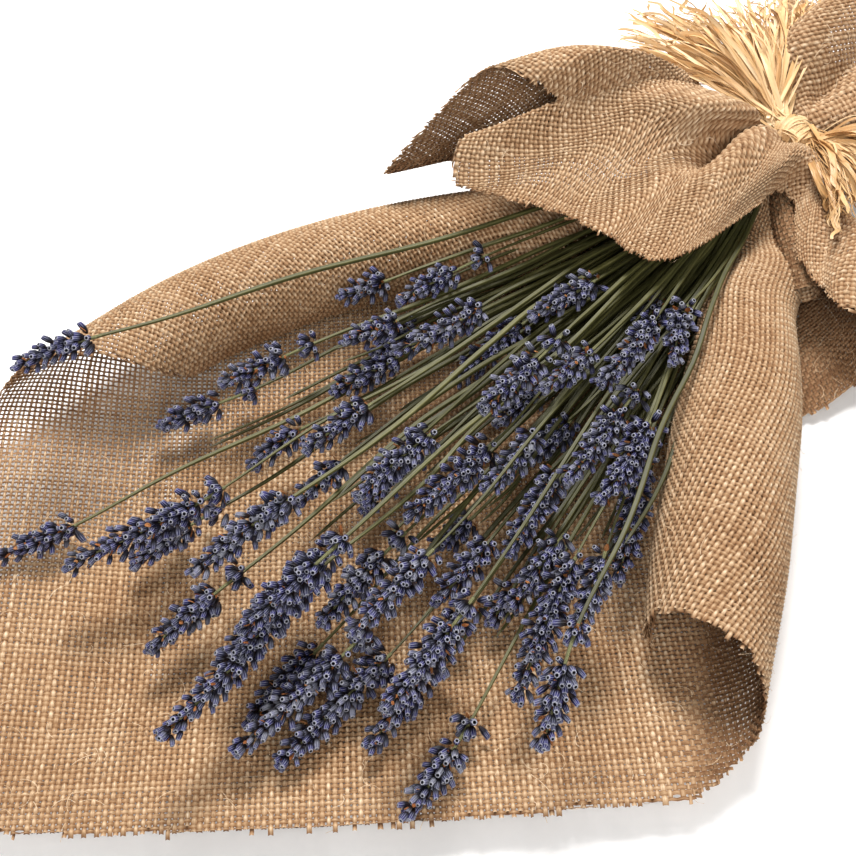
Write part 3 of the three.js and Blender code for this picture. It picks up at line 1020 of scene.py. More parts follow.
@dataclass
class Fan:
    """Half of the collar, unrolled flat round the neck so that its weave stays even.

    grain is how the weave is turned, spokes and steps how finely the surface is
    measured, margin the flat room beside the cloth, and overlap how far it goes
    under the tie.
    """

    half: CollarHalf
    surface: Callable[[np.ndarray, np.ndarray], np.ndarray]
    grain: float
    spokes: int = 361
    steps: int = 81
    fine_steps: int = 241
    margin: float = 8.0
    overlap: float = 2.5

    def __post_init__(self) -> None:
        """Measure the spokes and the angles between them."""
        u = np.linspace(0, 1, self.spokes)
        t = np.linspace(0, 1, self.fine_steps)
        raw = np.stack([self.surface(u, np.full_like(u, step)) for step in t], axis=1)
        run = np.linalg.norm(np.diff(raw, axis=1), axis=2)
        length = np.concatenate([np.zeros((self.spokes, 1)), np.cumsum(run, axis=1)], axis=1)
        self.reach = length[:, -1]
        even = np.linspace(0, 1, self.steps)
        self.table = np.empty((self.spokes, self.steps, 3))
        for i in range(self.spokes):
            for axis in range(3):
                self.table[i, :, axis] = np.interp(even * self.reach[i], length[i],
                                                   raw[i, :, axis])
        apart = np.linalg.norm(np.diff(self.table, axis=0), axis=2)
        neck = apart[:, 0].sum()
        middle = slice(self.steps // 3, self.steps)
        far = self.reach[:-1, None] * even[None, middle]
        start = 10.0
        for _ in range(6):
            step = (apart[:, middle] / (start + far)).mean(axis=1)
            start = neck / step.sum()
        self.start = start
        self.angle = np.concatenate([[0.0], np.cumsum(step)])
        edge = (self.start + self.reach)[:, None] * np.stack(
            [np.cos(self.angle - self.grain), np.sin(self.angle - self.grain)], axis=1)
        self.low = np.minimum(edge.min(axis=0), -self.start) - self.margin
        self.size = np.maximum(edge.max(axis=0), self.start) + self.margin - self.low

    def lay(self, p: np.ndarray, q: np.ndarray) -> Laid:
        """Lay flat points.

        Args:
            p: their first flat measure.
            q: their second.

        Returns:
            The points' places.
        """
        x, y = p + self.low[0], q + self.low[1]
        distance = np.hypot(x, y)
        whole = self.angle[-1]
        middle = whole / 2
        angle = np.mod(np.arctan2(y, x) + self.grain - middle + math.pi, 2 * math.pi)
        angle = angle - math.pi + middle
        place = np.interp(angle, self.angle, np.arange(self.spokes))
        i = np.minimum(place.astype(int), self.spokes - 2)
        w = (place - i)[:, None]
        reach = blend(self.reach[i], self.reach[i + 1], place - i)
        along = (distance - self.start) / reach * (self.steps - 1)
        j = np.clip(along.astype(int), 0, self.steps - 2)
        v = (along - j)[:, None]
        low = blend(self.table[i, j], self.table[i + 1, j], w)
        high = blend(self.table[i, j + 1], self.table[i + 1, j + 1], w)
        sideways = np.minimum(angle, whole - angle) * distance
        inside = np.minimum(self.start + reach - distance, sideways)
        inside = np.where(distance > self.start - self.overlap, inside, -100)
        return Laid(blend(low, high, v), inside, np.full_like(p, float(self.half.value)))


@dataclass
class Collar:
    """The burlap folded over the neck: a hood, a front flap and a side lobe.

    sweep is how far round the neck it goes to each side. puff, swell, valley, hump
    and lobe are how far it bulges or sinks, overhang how far the hood leans over
    the fold beside the knot, pleat its small pleats, and cut its flat size, which is
    not used. rear is how far it rises and sinks behind the tie, and grains how each
    half's weave turns.
    """

    sweep: float = math.radians(116)
    puff: float = 15.0
    pleat: float = 1.2
    swell: float = 15.0
    valley: float = 19.0
    hump: float = 5.5
    overhang: float = math.radians(25)
    lobe: float = 3.5
    rear: tuple[float, float] = (10.0, 17.0)
    grains: tuple[float, float] = (1.7, 0.4)
    map_gap: float = 4.0
    fibres: int = 1500
    cut: tuple[float, float] = (0.33, 0.25)
    cut_area: float = 0.055
    tuck_cut: tuple[float, float] = (0.042, 0.074)
    tuck_margin: float = 4.0
    tuck_turn: float = math.radians(350)
    weave: Weave = field(default_factory=lambda: Weave(seed=9, half=0.44))

    def rim(self, u: np.ndarray) -> np.ndarray:
        """The front rim."""
        return Course(in_front(*COLLAR_RIM[:, :3].T)).at(u)

    def rear_rim(self, angle: np.ndarray) -> np.ndarray:
        """The wavy rim behind the tie.

        Args:
            angle: bearings round the neck.

        Returns:
            The rim's points.
        """
        reach = 46 + 14 * np.cos(5 * (angle + 0.1))
        z = np.maximum(3, TIE.height + reach * np.cos(angle))
        return in_front(reach * np.sin(angle), -84 - 8 * np.cos(3 * angle), z)

    def _folds(self, u: np.ndarray, t: np.ndarray) -> np.ndarray:
        """How far the hood swells, the flap folds in beside the knot and the lobe pleats.

        Args:
            u: the share of the way round the neck.
            t: the share of the way from the tie to the rim.

        Returns:
            The distances from the neck.
        """
        near = rise(0.0, 0.06, t)
        fade = 1 - rise(0.26, 0.66, t)
        swell = self.swell * bump(u, 0.22, 0.11) * (1 - rise(0.08, 0.34, t))
        flat = self.swell * 0.35 * bump(u, 0.17, 0.09) * bump(t, 0.48, 0.2)
        valley = self.valley * bump(u, 0.458, 0.027) * fade
        lip = self.hump * 1.5 * bump(u, 0.385, 0.045) * fade
        hump = self.hump * bump(u, 0.525, 0.035) * fade
        pleats = self.lobe * (bump(u, 0.705, 0.022) - bump(u, 0.765, 0.026)
                              + bump(u, 0.83, 0.03))
        return near * (swell - flat - valley + lip + hump + pleats * (1 - 0.5 * rise(0.5, 1.0, t)))

    def _rear_folds(self, angle: np.ndarray, t: np.ndarray) -> np.ndarray:
        """How far the half behind the tie swells into a fold and sinks beside it."""
        fold = self.rear[0] * bump(angle, -0.50, 0.26) - self.rear[1] * bump(angle, 0.08, 0.27)
        return fold * rise(0.02, 0.25, t)

    def point(self, half: CollarHalf, u: np.ndarray, t: np.ndarray) -> np.ndarray:
        """Points on the surface.

        Args:
            half: the half.
            u: the share of the way round the neck.
            t: the share of the way from the tie to the rim.

        Returns:
            The points.
        """
        angle = blend(-self.sweep, self.sweep, u)
        if half is CollarHalf.FRONT:
            lean = bump(u, 0.405, 0.038) * rise(0.02, 0.10, t)
            back = bump(u, 0.50, 0.032) * rise(0.02, 0.10, t)
            angle = angle + self.overhang * (lean - 0.42 * back) * (1 - rise(0.18, 0.5, t))
        sin, cos = np.sin(angle), np.cos(angle)
        ahead = np.full_like(u, half.value * TIE.under)
        hump = 6.75 * t * (1 - t) ** 2
        puff = TIE.collar + self.puff * hump
        puff = puff + self.pleat * hump * t ** 0.3 * (np.sin(9.0 * angle + 0.9)
                                                     + 0.6 * np.sin(17.0 * angle + 2.0))
        puff = puff + (self._folds(u, t) if half is CollarHalf.FRONT
                       else self._rear_folds(angle, t))
        neck = in_front(TIE.collar * sin, ahead, TIE.height + TIE.collar * cos)
        point = in_front(puff * sin, ahead, TIE.height + puff * cos)
        rim = self.rim(u) if half is CollarHalf.FRONT else self.rear_rim(angle)
        point = point + (rim - neck) * t[:, None]
        if half is CollarHalf.FRONT:
            rows = np.arange(len(COLLAR_RIM)) / (len(COLLAR_RIM) - 1)
            point[:, 2] += np.interp(u, rows, COLLAR_RIM[:, 3]) * 4 * t * (1 - t)
        point[:, 2] = np.maximum(point[:, 2], CLOTH / 2)
        return point

    def tuck(self) -> None:
        """Weave the small roll between the wrap's roll and the lobe."""
        wide, long = self.tuck_cut[0] * 1000, self.tuck_cut[1] * 1000
        course = Course(in_front(*np.array(TUCK_PATH, float).T))

        def lay(p: np.ndarray, q: np.ndarray) -> Laid:
            """Roll the flat strip round its path.

            Args:
                p: flat measures across it.
                q: flat measures along it.

            Returns:
                The points' places.
            """
            x, y = p - self.tuck_margin, q - self.tuck_margin
            share = np.clip(y / long, -0.03, 1.03)
            centre = course.at(share)
            level, steep = frame_of(unit(course.at(share + 0.02) - course.at(share - 0.02)))
            turn = ((x / wide - 0.5) * self.tuck_turn)[:, None]
            radius = wide / self.tuck_turn * (0.55 + 0.45 * rise(0.0, 0.9, share))
            radius = (radius * (1.06 - 0.16 * (x / wide)))[:, None]
            points = centre + radius * (steep * -np.cos(turn) - level * np.sin(turn))
            inside = np.minimum(np.minimum(x, wide - x), np.minimum(y, long - y))
            return Laid(points, inside, np.ones_like(p))

        room = (wide + 2 * self.tuck_margin, long + 2 * self.tuck_margin)
        map_size = max(room)
        meshes = [self.weave.family("tuck", which, room, lay, map_size) for which in Yarns]
        finish = BurlapFinish(map_size, Yarns.WARP)
        piece = show("burlap_tuck", join("burlap_tuck", meshes), finish.material("burlap_tuck"),
                     "burlap_collar")

    def build(self) -> None:
        """Weave the collar's warp and weft, and the tuck."""
        fans = [Fan(half, lambda u, t, half=half: self.point(half, u, t), grain)
                for half, grain in zip(CollarHalf, self.grains)]
        starts = [0.0, float(fans[0].size[0]) + self.map_gap]
        map_size = float(max(starts[1] + fans[1].size[0], fans[0].size[1], fans[1].size[1]))
        for which in Yarns:
            name = f"burlap_collar_{which.name.lower()}"
            halves = [self.weave.family(name, which, tuple(fan.size), fan.lay, map_size, (at, 0.0))
                      for fan, at in zip(fans, starts)]
            if which is Yarns.WARP:
                halves += [self.weave.fuzz(name, self.fibres, tuple(fan.size), fan.lay, map_size)
                           for fan in fans]
            finish = BurlapFinish(map_size, which)
            piece = show(name, join(name, halves), finish.material(), "burlap_collar")
        self.tuck()


# ---- how the stems settle ---------------------------------------------------
# Each flower head: bearing from the bunch's axis (degrees, + to the right),
# reach of its tip from the tie, height of its tip, and length.
HEADS = (
    (-18, 347, 60, 36), (-15, 302, 14, 43), (-14, 277, 30, 44), (-18, 216, 30, 24),
    (-15, 200, 36, 46), (-10, 378, 12, 30), (-5, 363, 34, 63), (-6, 341, 13, 42),
    (0, 359, 20, 46), (-6, 285, 20, 30), (-3, 272, 40, 34), (4, 347, 30, 59),
    (6, 344, 50, 51), (6, 384, 40, 83), (7, 354, 12, 40), (9, 368, 24, 63),
    (11, 362, 12, 58), (14, 341, 14, 62), (18, 357, 12, 44), (23, 335, 58, 48),
    (20, 308, 30, 63), (24, 247, 26, 66), (23, 162, 42, 38), (17, 228, 42, 60),
    (6, 222, 48, 52), (5, 201, 18, 30), (14, 257, 30, 44), (4, 278, 46, 44),
    (8, 268, 34, 50), (13, 183, 46, 46), (2, 165, 38, 34), (-7, 214, 28, 44),
    (-5, 201, 20, 48), (-5, 149, 28, 26), (7, 315, 26, 50), (15, 338, 42, 54),
    (11, 321, 48, 44), (0, 264, 20, 36), (18, 275, 18, 40), (22, 237, 42, 50),
    (13, 286, 20, 34), (-13, 215, 20, 30), (11, 136, 30, 24), (22, 280, 36, 36),
    (-2, 284, 26, 26), (11, 198, 46, 32), (12, 212, 26, 28), (1, 338, 48, 46),
    (-11, 228, 36, 26), (10, 262, 14, 24), (15, 275, 14, 22), (-8, 240, 24, 34),
    (9, 240, 30, 36),
)


@dataclass
class Stem:
    """One stem's cross-sections, from the tie to its tip.

    ahead and base are how far ahead of the tie its head ends and starts, target is
    where the stem would run straight and at where it runs.
    """

    neck: tuple[float, float]
    ahead: float
    base: float
    target: list[list[float]]
    at: list[list[float]] = field(default_factory=list)

    def course(self) -> Course:
        """The settled path."""
        places = np.array(self.at)
        return Course(in_front(places[:, 0], np.arange(len(places)) * Settling.plane, places[:, 1]))


@dataclass
class Settling:
    """Lets heads and stems push each other aside.

    plane is the distance between cross-sections. middle and spread are the middle and
    half range of the heads' bearing and height, and neck the stems' half width at the
    tie. Pairs whose rooms add up to no more than least are let be. The last_pushes
    rounds come without the straightening that smoothing and pull_back rule.
    """

    plane: ClassVar[float] = 20.0
    middle: tuple[float, float] = (3.0, 32.0)
    spread: tuple[float, float] = (21.0, 30.0)
    rounds: int = 240
    last_pushes: int = 14
    smoothing: float = 0.3
    pull_back: float = 0.01
    stem_room: float = 1.85
    head_room: float = 6.7
    least: float = 6.2
    neck: float = 6.5
    wrap: Wrap = field(default_factory=Wrap)

    def straight(self) -> list[Stem]:
        """Start with stems that run straight from the neck to each head's tip.

        Returns:
            The stems.
        """
        stems = []
        for bearing, reach, height, length in HEADS:
            side = math.sin(math.radians(bearing)) * reach
            ahead = math.cos(math.radians(bearing)) * reach
            x = (bearing - self.middle[0]) / self.spread[0]
            z = (height - self.middle[1]) / self.spread[1]
            scale = self.neck / max(1.0, math.hypot(x, z))
            x, z = x * scale, z * scale
            target = []
            for k in range(math.ceil(ahead / self.plane) + 1):
                t = k * self.plane / ahead
                target.append([blend(x, side, t), blend(TIE.height + z, height, t)])
            stems.append(Stem((x, z), ahead, ahead * (1 - length / reach), target,
                              [list(p) for p in target]))
        return stems

    def _room(self, stem: Stem, k: int) -> float:
        """The room that a stem or its head needs in cross-section k."""
        return self.head_room if k * self.plane > stem.base - self.plane / 2 else self.stem_room

    def _floor_at(self, x: float, y: float) -> float:
        """The height of the wrap's upper face under a point.

        Args:
            x: how far across the point is.
            y: how far ahead of the tie.

        Returns:
            The height.
        """
        side = LEFT if x < 0 else RIGHT
        row = y + abs(x) * math.tan(side.slant(y))
        if row < 230:
            return CLOTH
        u = min(0.5, abs(x) / math.cos(side.slant(row)) / side.floor(row) / 2)
        return CLOTH + float(self.wrap.edge_lift(u, float(side.front(u)) - row))

    def _keep_gathered(self, point: list[float], y: float, room: float) -> None:
        """Keep a point inside the gathered cloth.

        Args:
            point: how far across it is, and its height.
            y: how far ahead of the tie.
            room: how far it stays from the cloth.
        """
        wide, high, centre, _ = self.wrap.gather(RIGHT, y)
        flat = 1 - rise(*self.wrap.opening, y)
        across = point[0] / (wide - room)
        up = (point[1] - centre) / (high * flat + centre * (1 - flat) - room)
        outside = max(1.0, math.hypot(across, up))
        point[0] /= outside
        point[1] = centre + (point[1] - centre) / outside

    def _keep_inside(self, point: list[float], k: int, room: float,
                     rolls: list[tuple[float, float]]) -> None:
        """Keep a point above the floor, beside the rolls and under the collar.

        Args:
            point: how far across it is, and its height.
            k: its cross-section.
            room: the room that it needs.
            rolls: the rolls' centres and radii.
        """
        y = k * self.plane
        point[1] = max(point[1], self._floor_at(point[0], y) + 0.6 + room)
        if y < 130:
            point[1] = min(point[1], TIE.height + blend(7, 22, min(1.0, y / 110)) - room)
        if y < 50:
            self._keep_gathered(point, y, room + 1.3 + max(0.0, 5 - y / 8))
        if 50 < y < 330:
            for x, radius in rolls:
                dx, dz = point[0] - x, point[1] - radius
                distance = math.hypot(dx, dz) or 1e-6
                away = radius * 1.12 + 2 + room
                if distance < away:
                    point[0] += dx / distance * (away - distance)
                    point[1] += dz / distance * (away - distance)

    def _rolls(self, k: int) -> list[tuple[float, float]]:
        """Where the two rolls are.

        Args:
            k: the cross-section beside them.

        Returns:
            How far across each roll's centre is, and its radius.
        """
        found = []
        for side in (RIGHT, LEFT):
            row = k * self.plane * side.row_ahead
            x = math.cos(side.slant(row)) * side.floor(row)
            found.append((side.sign * x, side.radius(row)))
        return found

    def settle(self) -> list[Stem]:
        """Push until none crosses another.

        Returns:
            The settled stems.
        """
        stems = self.straight()
        planes = []
        for k in range(1, max(len(stem.at) for stem in stems)):
            here = [stem for stem in stems if len(stem.at) > k]
            pairs = []
            for i, a in enumerate(here):
                for b in here[i + 1:]:
                    need = self._room(a, k) + self._room(b, k)
                    if need > self.least:
                        pairs.append((a.at[k], b.at[k], need))
            singles = [(stem.at[k], self._room(stem, k)) for stem in here]
            planes.append((k, pairs, singles, self._rolls(k)))
        for round_ in range(self.rounds):
            for k, pairs, singles, rolls in planes:
                for p, q, need in pairs:
                    dx, dz = q[0] - p[0], q[1] - p[1] + 1e-6
                    distance = math.sqrt(dx * dx + dz * dz)
                    if distance < need:
                        push = (need - distance) / distance / 2
                        p[0] -= dx * push
                        p[1] -= dz * push
                        q[0] += dx * push
                        q[1] += dz * push
                for point, room in singles:
                    self._keep_inside(point, k, room, rolls)
            if round_ < self.rounds - self.last_pushes:
                self._straighten(stems)
        return stems

    def _straighten(self, stems: list[Stem]) -> None:
        """Draw each stem straighter, and a little back to where it started.

        Args:
            stems: the stems.
        """
        for stem in stems:
            at, target = stem.at, stem.target
            for k in range(1, len(at) - 1):
                for axis in (0, 1):
                    between = (at[k - 1][axis] + at[k + 1][axis]) / 2
                    at[k][axis] += self.smoothing * (between - at[k][axis])
                    at[k][axis] += self.pull_back * (target[k][axis] - at[k][axis])


@dataclass
class Line:
    """A path measured by its distance in front of the tie."""

    points: np.ndarray

    def __post_init__(self) -> None:
        """Measure the path."""
        self.ahead = TIE.y - self.points[:, 1]

    def at(self, ahead: Numbers) -> np.ndarray:
        """Points at distances in front of the tie."""
        return np.stack([np.interp(ahead, self.ahead, way) for way in self.points.T], axis=-1)

    def heading(self, ahead: Numbers) -> np.ndarray:
        """Directions at distances in front of the tie."""
        return unit(self.at(ahead + 1.5) - self.at(ahead - 1.5))


@dataclass
class Stalks:
    """All the stems, from their cut ends behind the tie to their flower heads.

    bare is how many stalks without heads lie among them, bare_ends how far ahead of
    the tie they end and lowest how low they lie. behind is how far the longest stem
    is cut off behind the tie and cut_range how much shorter others are. waver is how
    far a stalk strays from its path and lean how far its head leans to a side.
    shades runs from brown patches to dry ridges.
    """

    stems: list[Stem]
    sides: int = 7
    stations: int = 56
    bare: int = 130
    bare_ends: tuple[float, float] = (85.0, 285.0)
    lowest: float = 4.0
    radius: float = 1.0
    behind: float = 92.0
    cut_range: float = 26.0
    waver: float = 1.1
    lean: float = 5.0
    shades: Stops = (
        (0.12, (0.020, 0.016, 0.005)), (0.44, (0.058, 0.057, 0.015)),
        (0.70, (0.120, 0.114, 0.034)), (0.98, (0.270, 0.240, 0.105)))
    seed: int = 11

    def lines(self) -> list[Line]:
        """Give each stem an end behind the tie, and let it waver.

        Returns:
            The stems' paths.
        """
        random = np.random.default_rng(self.seed)
        found = []
        for stem in self.stems:
            cut = self.behind - self.cut_range * random.random()
            tail = in_front(stem.neck[0] * 1.9, -cut, TIE.height + 3 + stem.neck[1] * 1.6)
            course = stem.course().at(np.linspace(0, 1, 200))
            lead = blend(tail, course[0], np.linspace(0, 1, 20)[:-1, None])
            points = np.vstack([lead, course])
            extra = points[-1] + unit(points[-1] - points[-6]) * 6
            points = np.vstack([points, extra])
            found.append(Line(points + self._sway(points, stem, random)))
        return found

    def _sway(self, points: np.ndarray, stem: Stem, random: np.random.Generator) -> np.ndarray:
        """How far a stem wavers, and its flower head leans to a side.

        Args:
            points: its path.
            stem: the stem.
            random: a seeded source of numbers.

        Returns:
            How far each of its points moves.
        """
        ahead = TIE.y - points[:, 1]
        size = rise(25.0, 90.0, ahead)
        beats, starts = random.uniform(0.03, 0.075, 2), random.uniform(0, math.tau, 2)
        head = np.maximum(0, ahead - stem.base + 6) / (stem.ahead - stem.base + 6)
        aside = random.uniform(-self.lean, self.lean)
        down = random.uniform(-0.5, 0.3) * self.lean
        if points[-10, 2] < 16:
            down = abs(down) * 0.3
        x = size * np.sin(ahead * beats[0] + starts[0]) * self.waver + aside * head ** 2
        z = size * np.sin(ahead * beats[1] + starts[1]) * self.waver * 0.6 + down * head ** 2
        return np.stack([x, 0 * x, z], axis=-1)

    def material(self, count: int) -> bpy.types.Material:
        """Make the finish: olive green with lengthwise ridges and browner patches.

        Args:
            count: how many stalks share the flat map.

        Returns:
            The material.
        """
        surface = Surface("lavender_stalk")
        run = surface.noise(surface.flat((count * 3.0, 60.0)))
        patch = surface.noise(surface.flat((count * 1.0, 9.0)))
        ridge = surface.stripes(count * 4.0)
        tone = surface.attribute("tone")
        shade = run * 0.35 + patch * 0.3 + tone * 0.4 + ridge * 0.08
        colour = surface.ramp(shade, self.shades)
        return surface.finish(colour, 0.55, ridge * 0.12 + run * 0.12)

    def _bare(self, lines: list[Line], random: np.random.Generator) -> list[tuple[Line, float]]:
        """Lay stalks that have lost their heads low down among the others.

        Args:
            lines: the stems' paths.
            random: a seeded source of numbers.

        Returns:
            Each stalk's path, and how far ahead of the tie it ends.
        """
        found = []
        for _ in range(self.bare):
            i = int(random.integers(len(lines)))
            points = lines[i].points.copy()
            ahead = TIE.y - points[:, 1]
            apart = rise(20.0, 110.0, ahead)
            points[:, 0] += (random.normal(0.0, 5.0) * apart
                             + random.normal(0.0, 0.02) * np.maximum(0, ahead))
            low = random.uniform(0.25, 0.95) * apart
            points[:, 2] = blend(points[:, 2], self.lowest + random.uniform(0.0, 5.0), low)
            found.append((Line(points), min(self.stems[i].ahead, random.uniform(*self.bare_ends))))
        return found

    def build(self) -> list[Line]:
        """Make the stems.

        Returns:
            Each stem's path.
        """
        lines = self.lines()
        random = np.random.default_rng(self.seed + 1)
        runs = [(line, stem.base + 1.5) for line, stem in zip(lines, self.stems)]
        runs += self._bare(lines, random)
        count = len(runs)
        tone = random.uniform(0.2, 0.9, count)
        thick = random.uniform(0.72, 1.15, count)
        # painted shade: the bare stalks lie low under the others, so their tone is darker
        tone[len(lines):] *= 0.6

        def place(corner: Corners) -> Placed:
            """Wrap each strip round its stem's path.

            Args:
                corner: the corners.

            Returns:
                Their places.
            """
            points = np.empty((len(corner.strip), 3))
            share = corner.station / (self.stations - 1)
            turn = corner.across / self.sides * math.tau
            for i, (line, last) in enumerate(runs):
                mine = corner.strip == i
                first = line.ahead[0]
                ahead = first + (last - first) * share[mine]
                slim = 0.62 + 0.38 * rise(0.0, 0.2, 1 - share[mine])
                shut = (share[mine] == 0) | ((i >= len(lines)) & (share[mine] == 1))
                radius = np.where(shut, 0.01, self.radius * thick[i] * slim)
                points[mine] = beside(line.at(ahead), line.heading(ahead), radius, turn[mine])
            flat = np.stack([(corner.strip + corner.across / self.sides * 0.9) / count,
                             share], axis=-1)
            keep = np.ones(len(points), bool)
            return Placed(points, flat, keep, {"tone": tone[corner.strip]})

        strips = Strips(count, self.sides + 1, self.stations, closed=True)
        mesh = strips.mesh("lavender_stems", place)
        show("lavender_stems", mesh, self.material(count), "stems")
        return lines


# ---- flower heads -----------------------------------------------------------
@dataclass(frozen=True)
class FloretFinish:
    """Dried calyces, brown and then blue-violet, with pale ribs, rims and papery husks.

    body runs from a calyx's foot to its rim, near black low down as painted shade
    where the whorl hides the calyces, inside is painted shade down the mouth, and
    stalk and husk run from dark to pale fuzz.
    """

    ribs: int = 11
    roughness: float = 0.50
    gloss: float = 0.2
    # the body runs near black from the middle down to the foot: painted shade where the calyces
    # hide in the whorl
    body: Stops = (
        (0.0, (0.030, 0.014, 0.008)), (0.42, (0.003, 0.002, 0.006)),
        (0.60, (0.007, 0.006, 0.045)), (0.82, (0.021, 0.019, 0.135)),
        (1.0, (0.055, 0.053, 0.215)))
    grey: Triple = (0.022, 0.024, 0.040)
    rib: Triple = (0.440, 0.460, 0.600)
    faded: Triple = (0.380, 0.390, 0.440)
    rim: Triple = (0.520, 0.530, 0.590)
    # painted shade down the calyx's mouth
    inside: Triple = (0.004, 0.003, 0.008)
    stalk: Stops = ((0.3, (0.120, 0.120, 0.050)), (0.7, (0.300, 0.300, 0.150)))
    husk: Stops = (
        (0.35, (0.110, 0.030, 0.008)), (0.55, (0.400, 0.140, 0.045)),
        (0.8, (0.600, 0.350, 0.160)))
    hairs: Triple = (1.0, 1.0, 1.0)

    def material(self) -> bpy.types.Material:
        """Make the material.

        Returns:
            The material.
        """
        surface = Surface("lavender_floret")
        along = surface.attribute("along")
        tone = surface.attribute("tone")
        green = surface.attribute("green")
        paper = surface.attribute("paper")
        rib = surface.stripes(CELLS * self.ribs) * 0.5 + 0.5
        fuzz = surface.noise(surface.solid((2600.0,) * 3))
        patch = surface.noise(surface.solid((160.0,) * 3))
        # painted shade: the ramp runs near black towards the calyx's foot
        colour = surface.ramp(along, self.body)
        for over, share in (
                (self.grey, patch.over(0.42, 0.60) * 0.7),
                (self.rib, rib ** 6.0 * 0.62 * along.over(0.45, 0.70)),
                (self.faded, tone ** 5.0 * 0.6 * along.over(0.30, 0.60)),
                (self.rim, along.over(0.90, 0.98) * 0.7),
                # painted shade down the mouth
                (self.inside, along.over(1.05, 1.12)),
                (surface.ramp(fuzz, self.stalk), green),
                (surface.ramp(fuzz * 0.5 + patch * 0.6, self.husk), paper),
                (self.hairs, fuzz.over(0.64, 0.8) * 0.10)):
            colour = surface.mix(colour, over, share)
        return surface.finish(colour, self.roughness, rib * 0.20 + fuzz * 0.10, self.gloss)


@dataclass
class FloretShapes:
    """Small template meshes that point along +Z and are copied into every head.

    A calyx starts as a disc of radius base and grows through profile, which gives
    the height, radius and mark of each ring. It curves by bend times height squared.
    """

    sides: int = 6
    base: float = 0.42
    bend: float = 0.026
    top_mark: float = 1.3
    # marks low in a calyx take the body's painted shade, marks above 1.05 the painted shade inside
    # the mouth
    profile: tuple = ((1.1, 0.98, 0.20), (2.6, 1.32, 0.50), (4.2, 1.20, 0.80),
                      (5.2, 0.98, 0.96), (5.3, 0.64, 1.06), (4.1, 0.50, 1.3))
    marks: ClassVar[tuple[str, ...]] = ("along", "tone", "green", "paper")

    def _layers(self, shape: bmesh.types.BMesh) -> dict[str, bmesh.types.BMLayerItem]:
        """The marks that every shape carries."""
        return {name: shape.verts.layers.float.new(name) for name in self.marks}

    def calyx(self) -> bpy.types.Mesh:
        """Make a calyx: a barrel with an open mouth, its inside painted near black as shade.

        Returns:
            The mesh.
        """
        shape = bmesh.new()
        layers = self._layers(shape)
        layer = shape.loops.layers.uv.new(MAP_NAME)
        bmesh.ops.create_circle(shape, cap_ends=True, segments=self.sides, radius=self.base)
        rim = list(shape.edges)
        last, depth = self.base, 0.0
        for z, radius, along in self.profile:
            grown = bmesh.ops.extrude_edge_only(shape, edges=rim)["geom"]
            ring = [item for item in grown if isinstance(item, bmesh.types.BMVert)]
            rim = [item for item in grown if isinstance(item, bmesh.types.BMEdge)
                   and all(v in ring for v in item.verts)]
            bmesh.ops.scale(shape, vec=(radius / last, radius / last, 1), verts=ring)
            bmesh.ops.translate(shape, vec=(0, 0, z - depth), verts=ring)
            for vert in ring:
                vert[layers["along"]] = along
            last, depth = radius, z
        bmesh.ops.edgeloop_fill(shape, edges=rim)
        bmesh.ops.recalc_face_normals(shape, faces=shape.faces)
        for vert in shape.verts:
            vert.co.y += self.bend * vert.co.z ** 2
        for face in shape.faces:
            face.smooth = True
            turns = [math.atan2(loop.vert.co.y - self.bend * loop.vert.co.z ** 2, loop.vert.co.x)
                     / math.tau % 1 for loop in face.loops]
            wraps = max(turns) - min(turns) > 0.5
            for loop, turn in zip(face.loops, turns):
                turn += 1.0 if wraps and turn < 0.5 else 0.0
                height = min(loop.vert[layers["along"]], self.top_mark) / self.top_mark
                loop[layer].uv = (turn / 1.2, height)
        return stored("calyx", shape)

    def bract(self) -> bpy.types.Mesh:
        """Make a bract: a small papery leaf, folded along its middle.

        Returns:
            The mesh.
        """
        shape = bmesh.new()
        layers = self._layers(shape)
        layer = shape.loops.layers.uv.new(MAP_NAME)
        bmesh.ops.create_grid(shape, x_segments=2, y_segments=3, size=1.0)
        for vert in shape.verts:
            x, run = vert.co.x, (vert.co.y + 1) / 2
            wide = 0.95 * math.sin(math.pi * (0.18 + 0.78 * run))
            vert.co = (x * wide, 0.35 * abs(x) + 0.5 * run * run, 3.2 * run)
            vert[layers["paper"]] = 1.0
        for face in shape.faces:
            face.smooth = True
            for loop in face.loops:
                loop[layer].uv = (loop.vert.co.x * 0.2 + 0.5, loop.vert.co.z / 3.4)
        return stored("bract", shape)


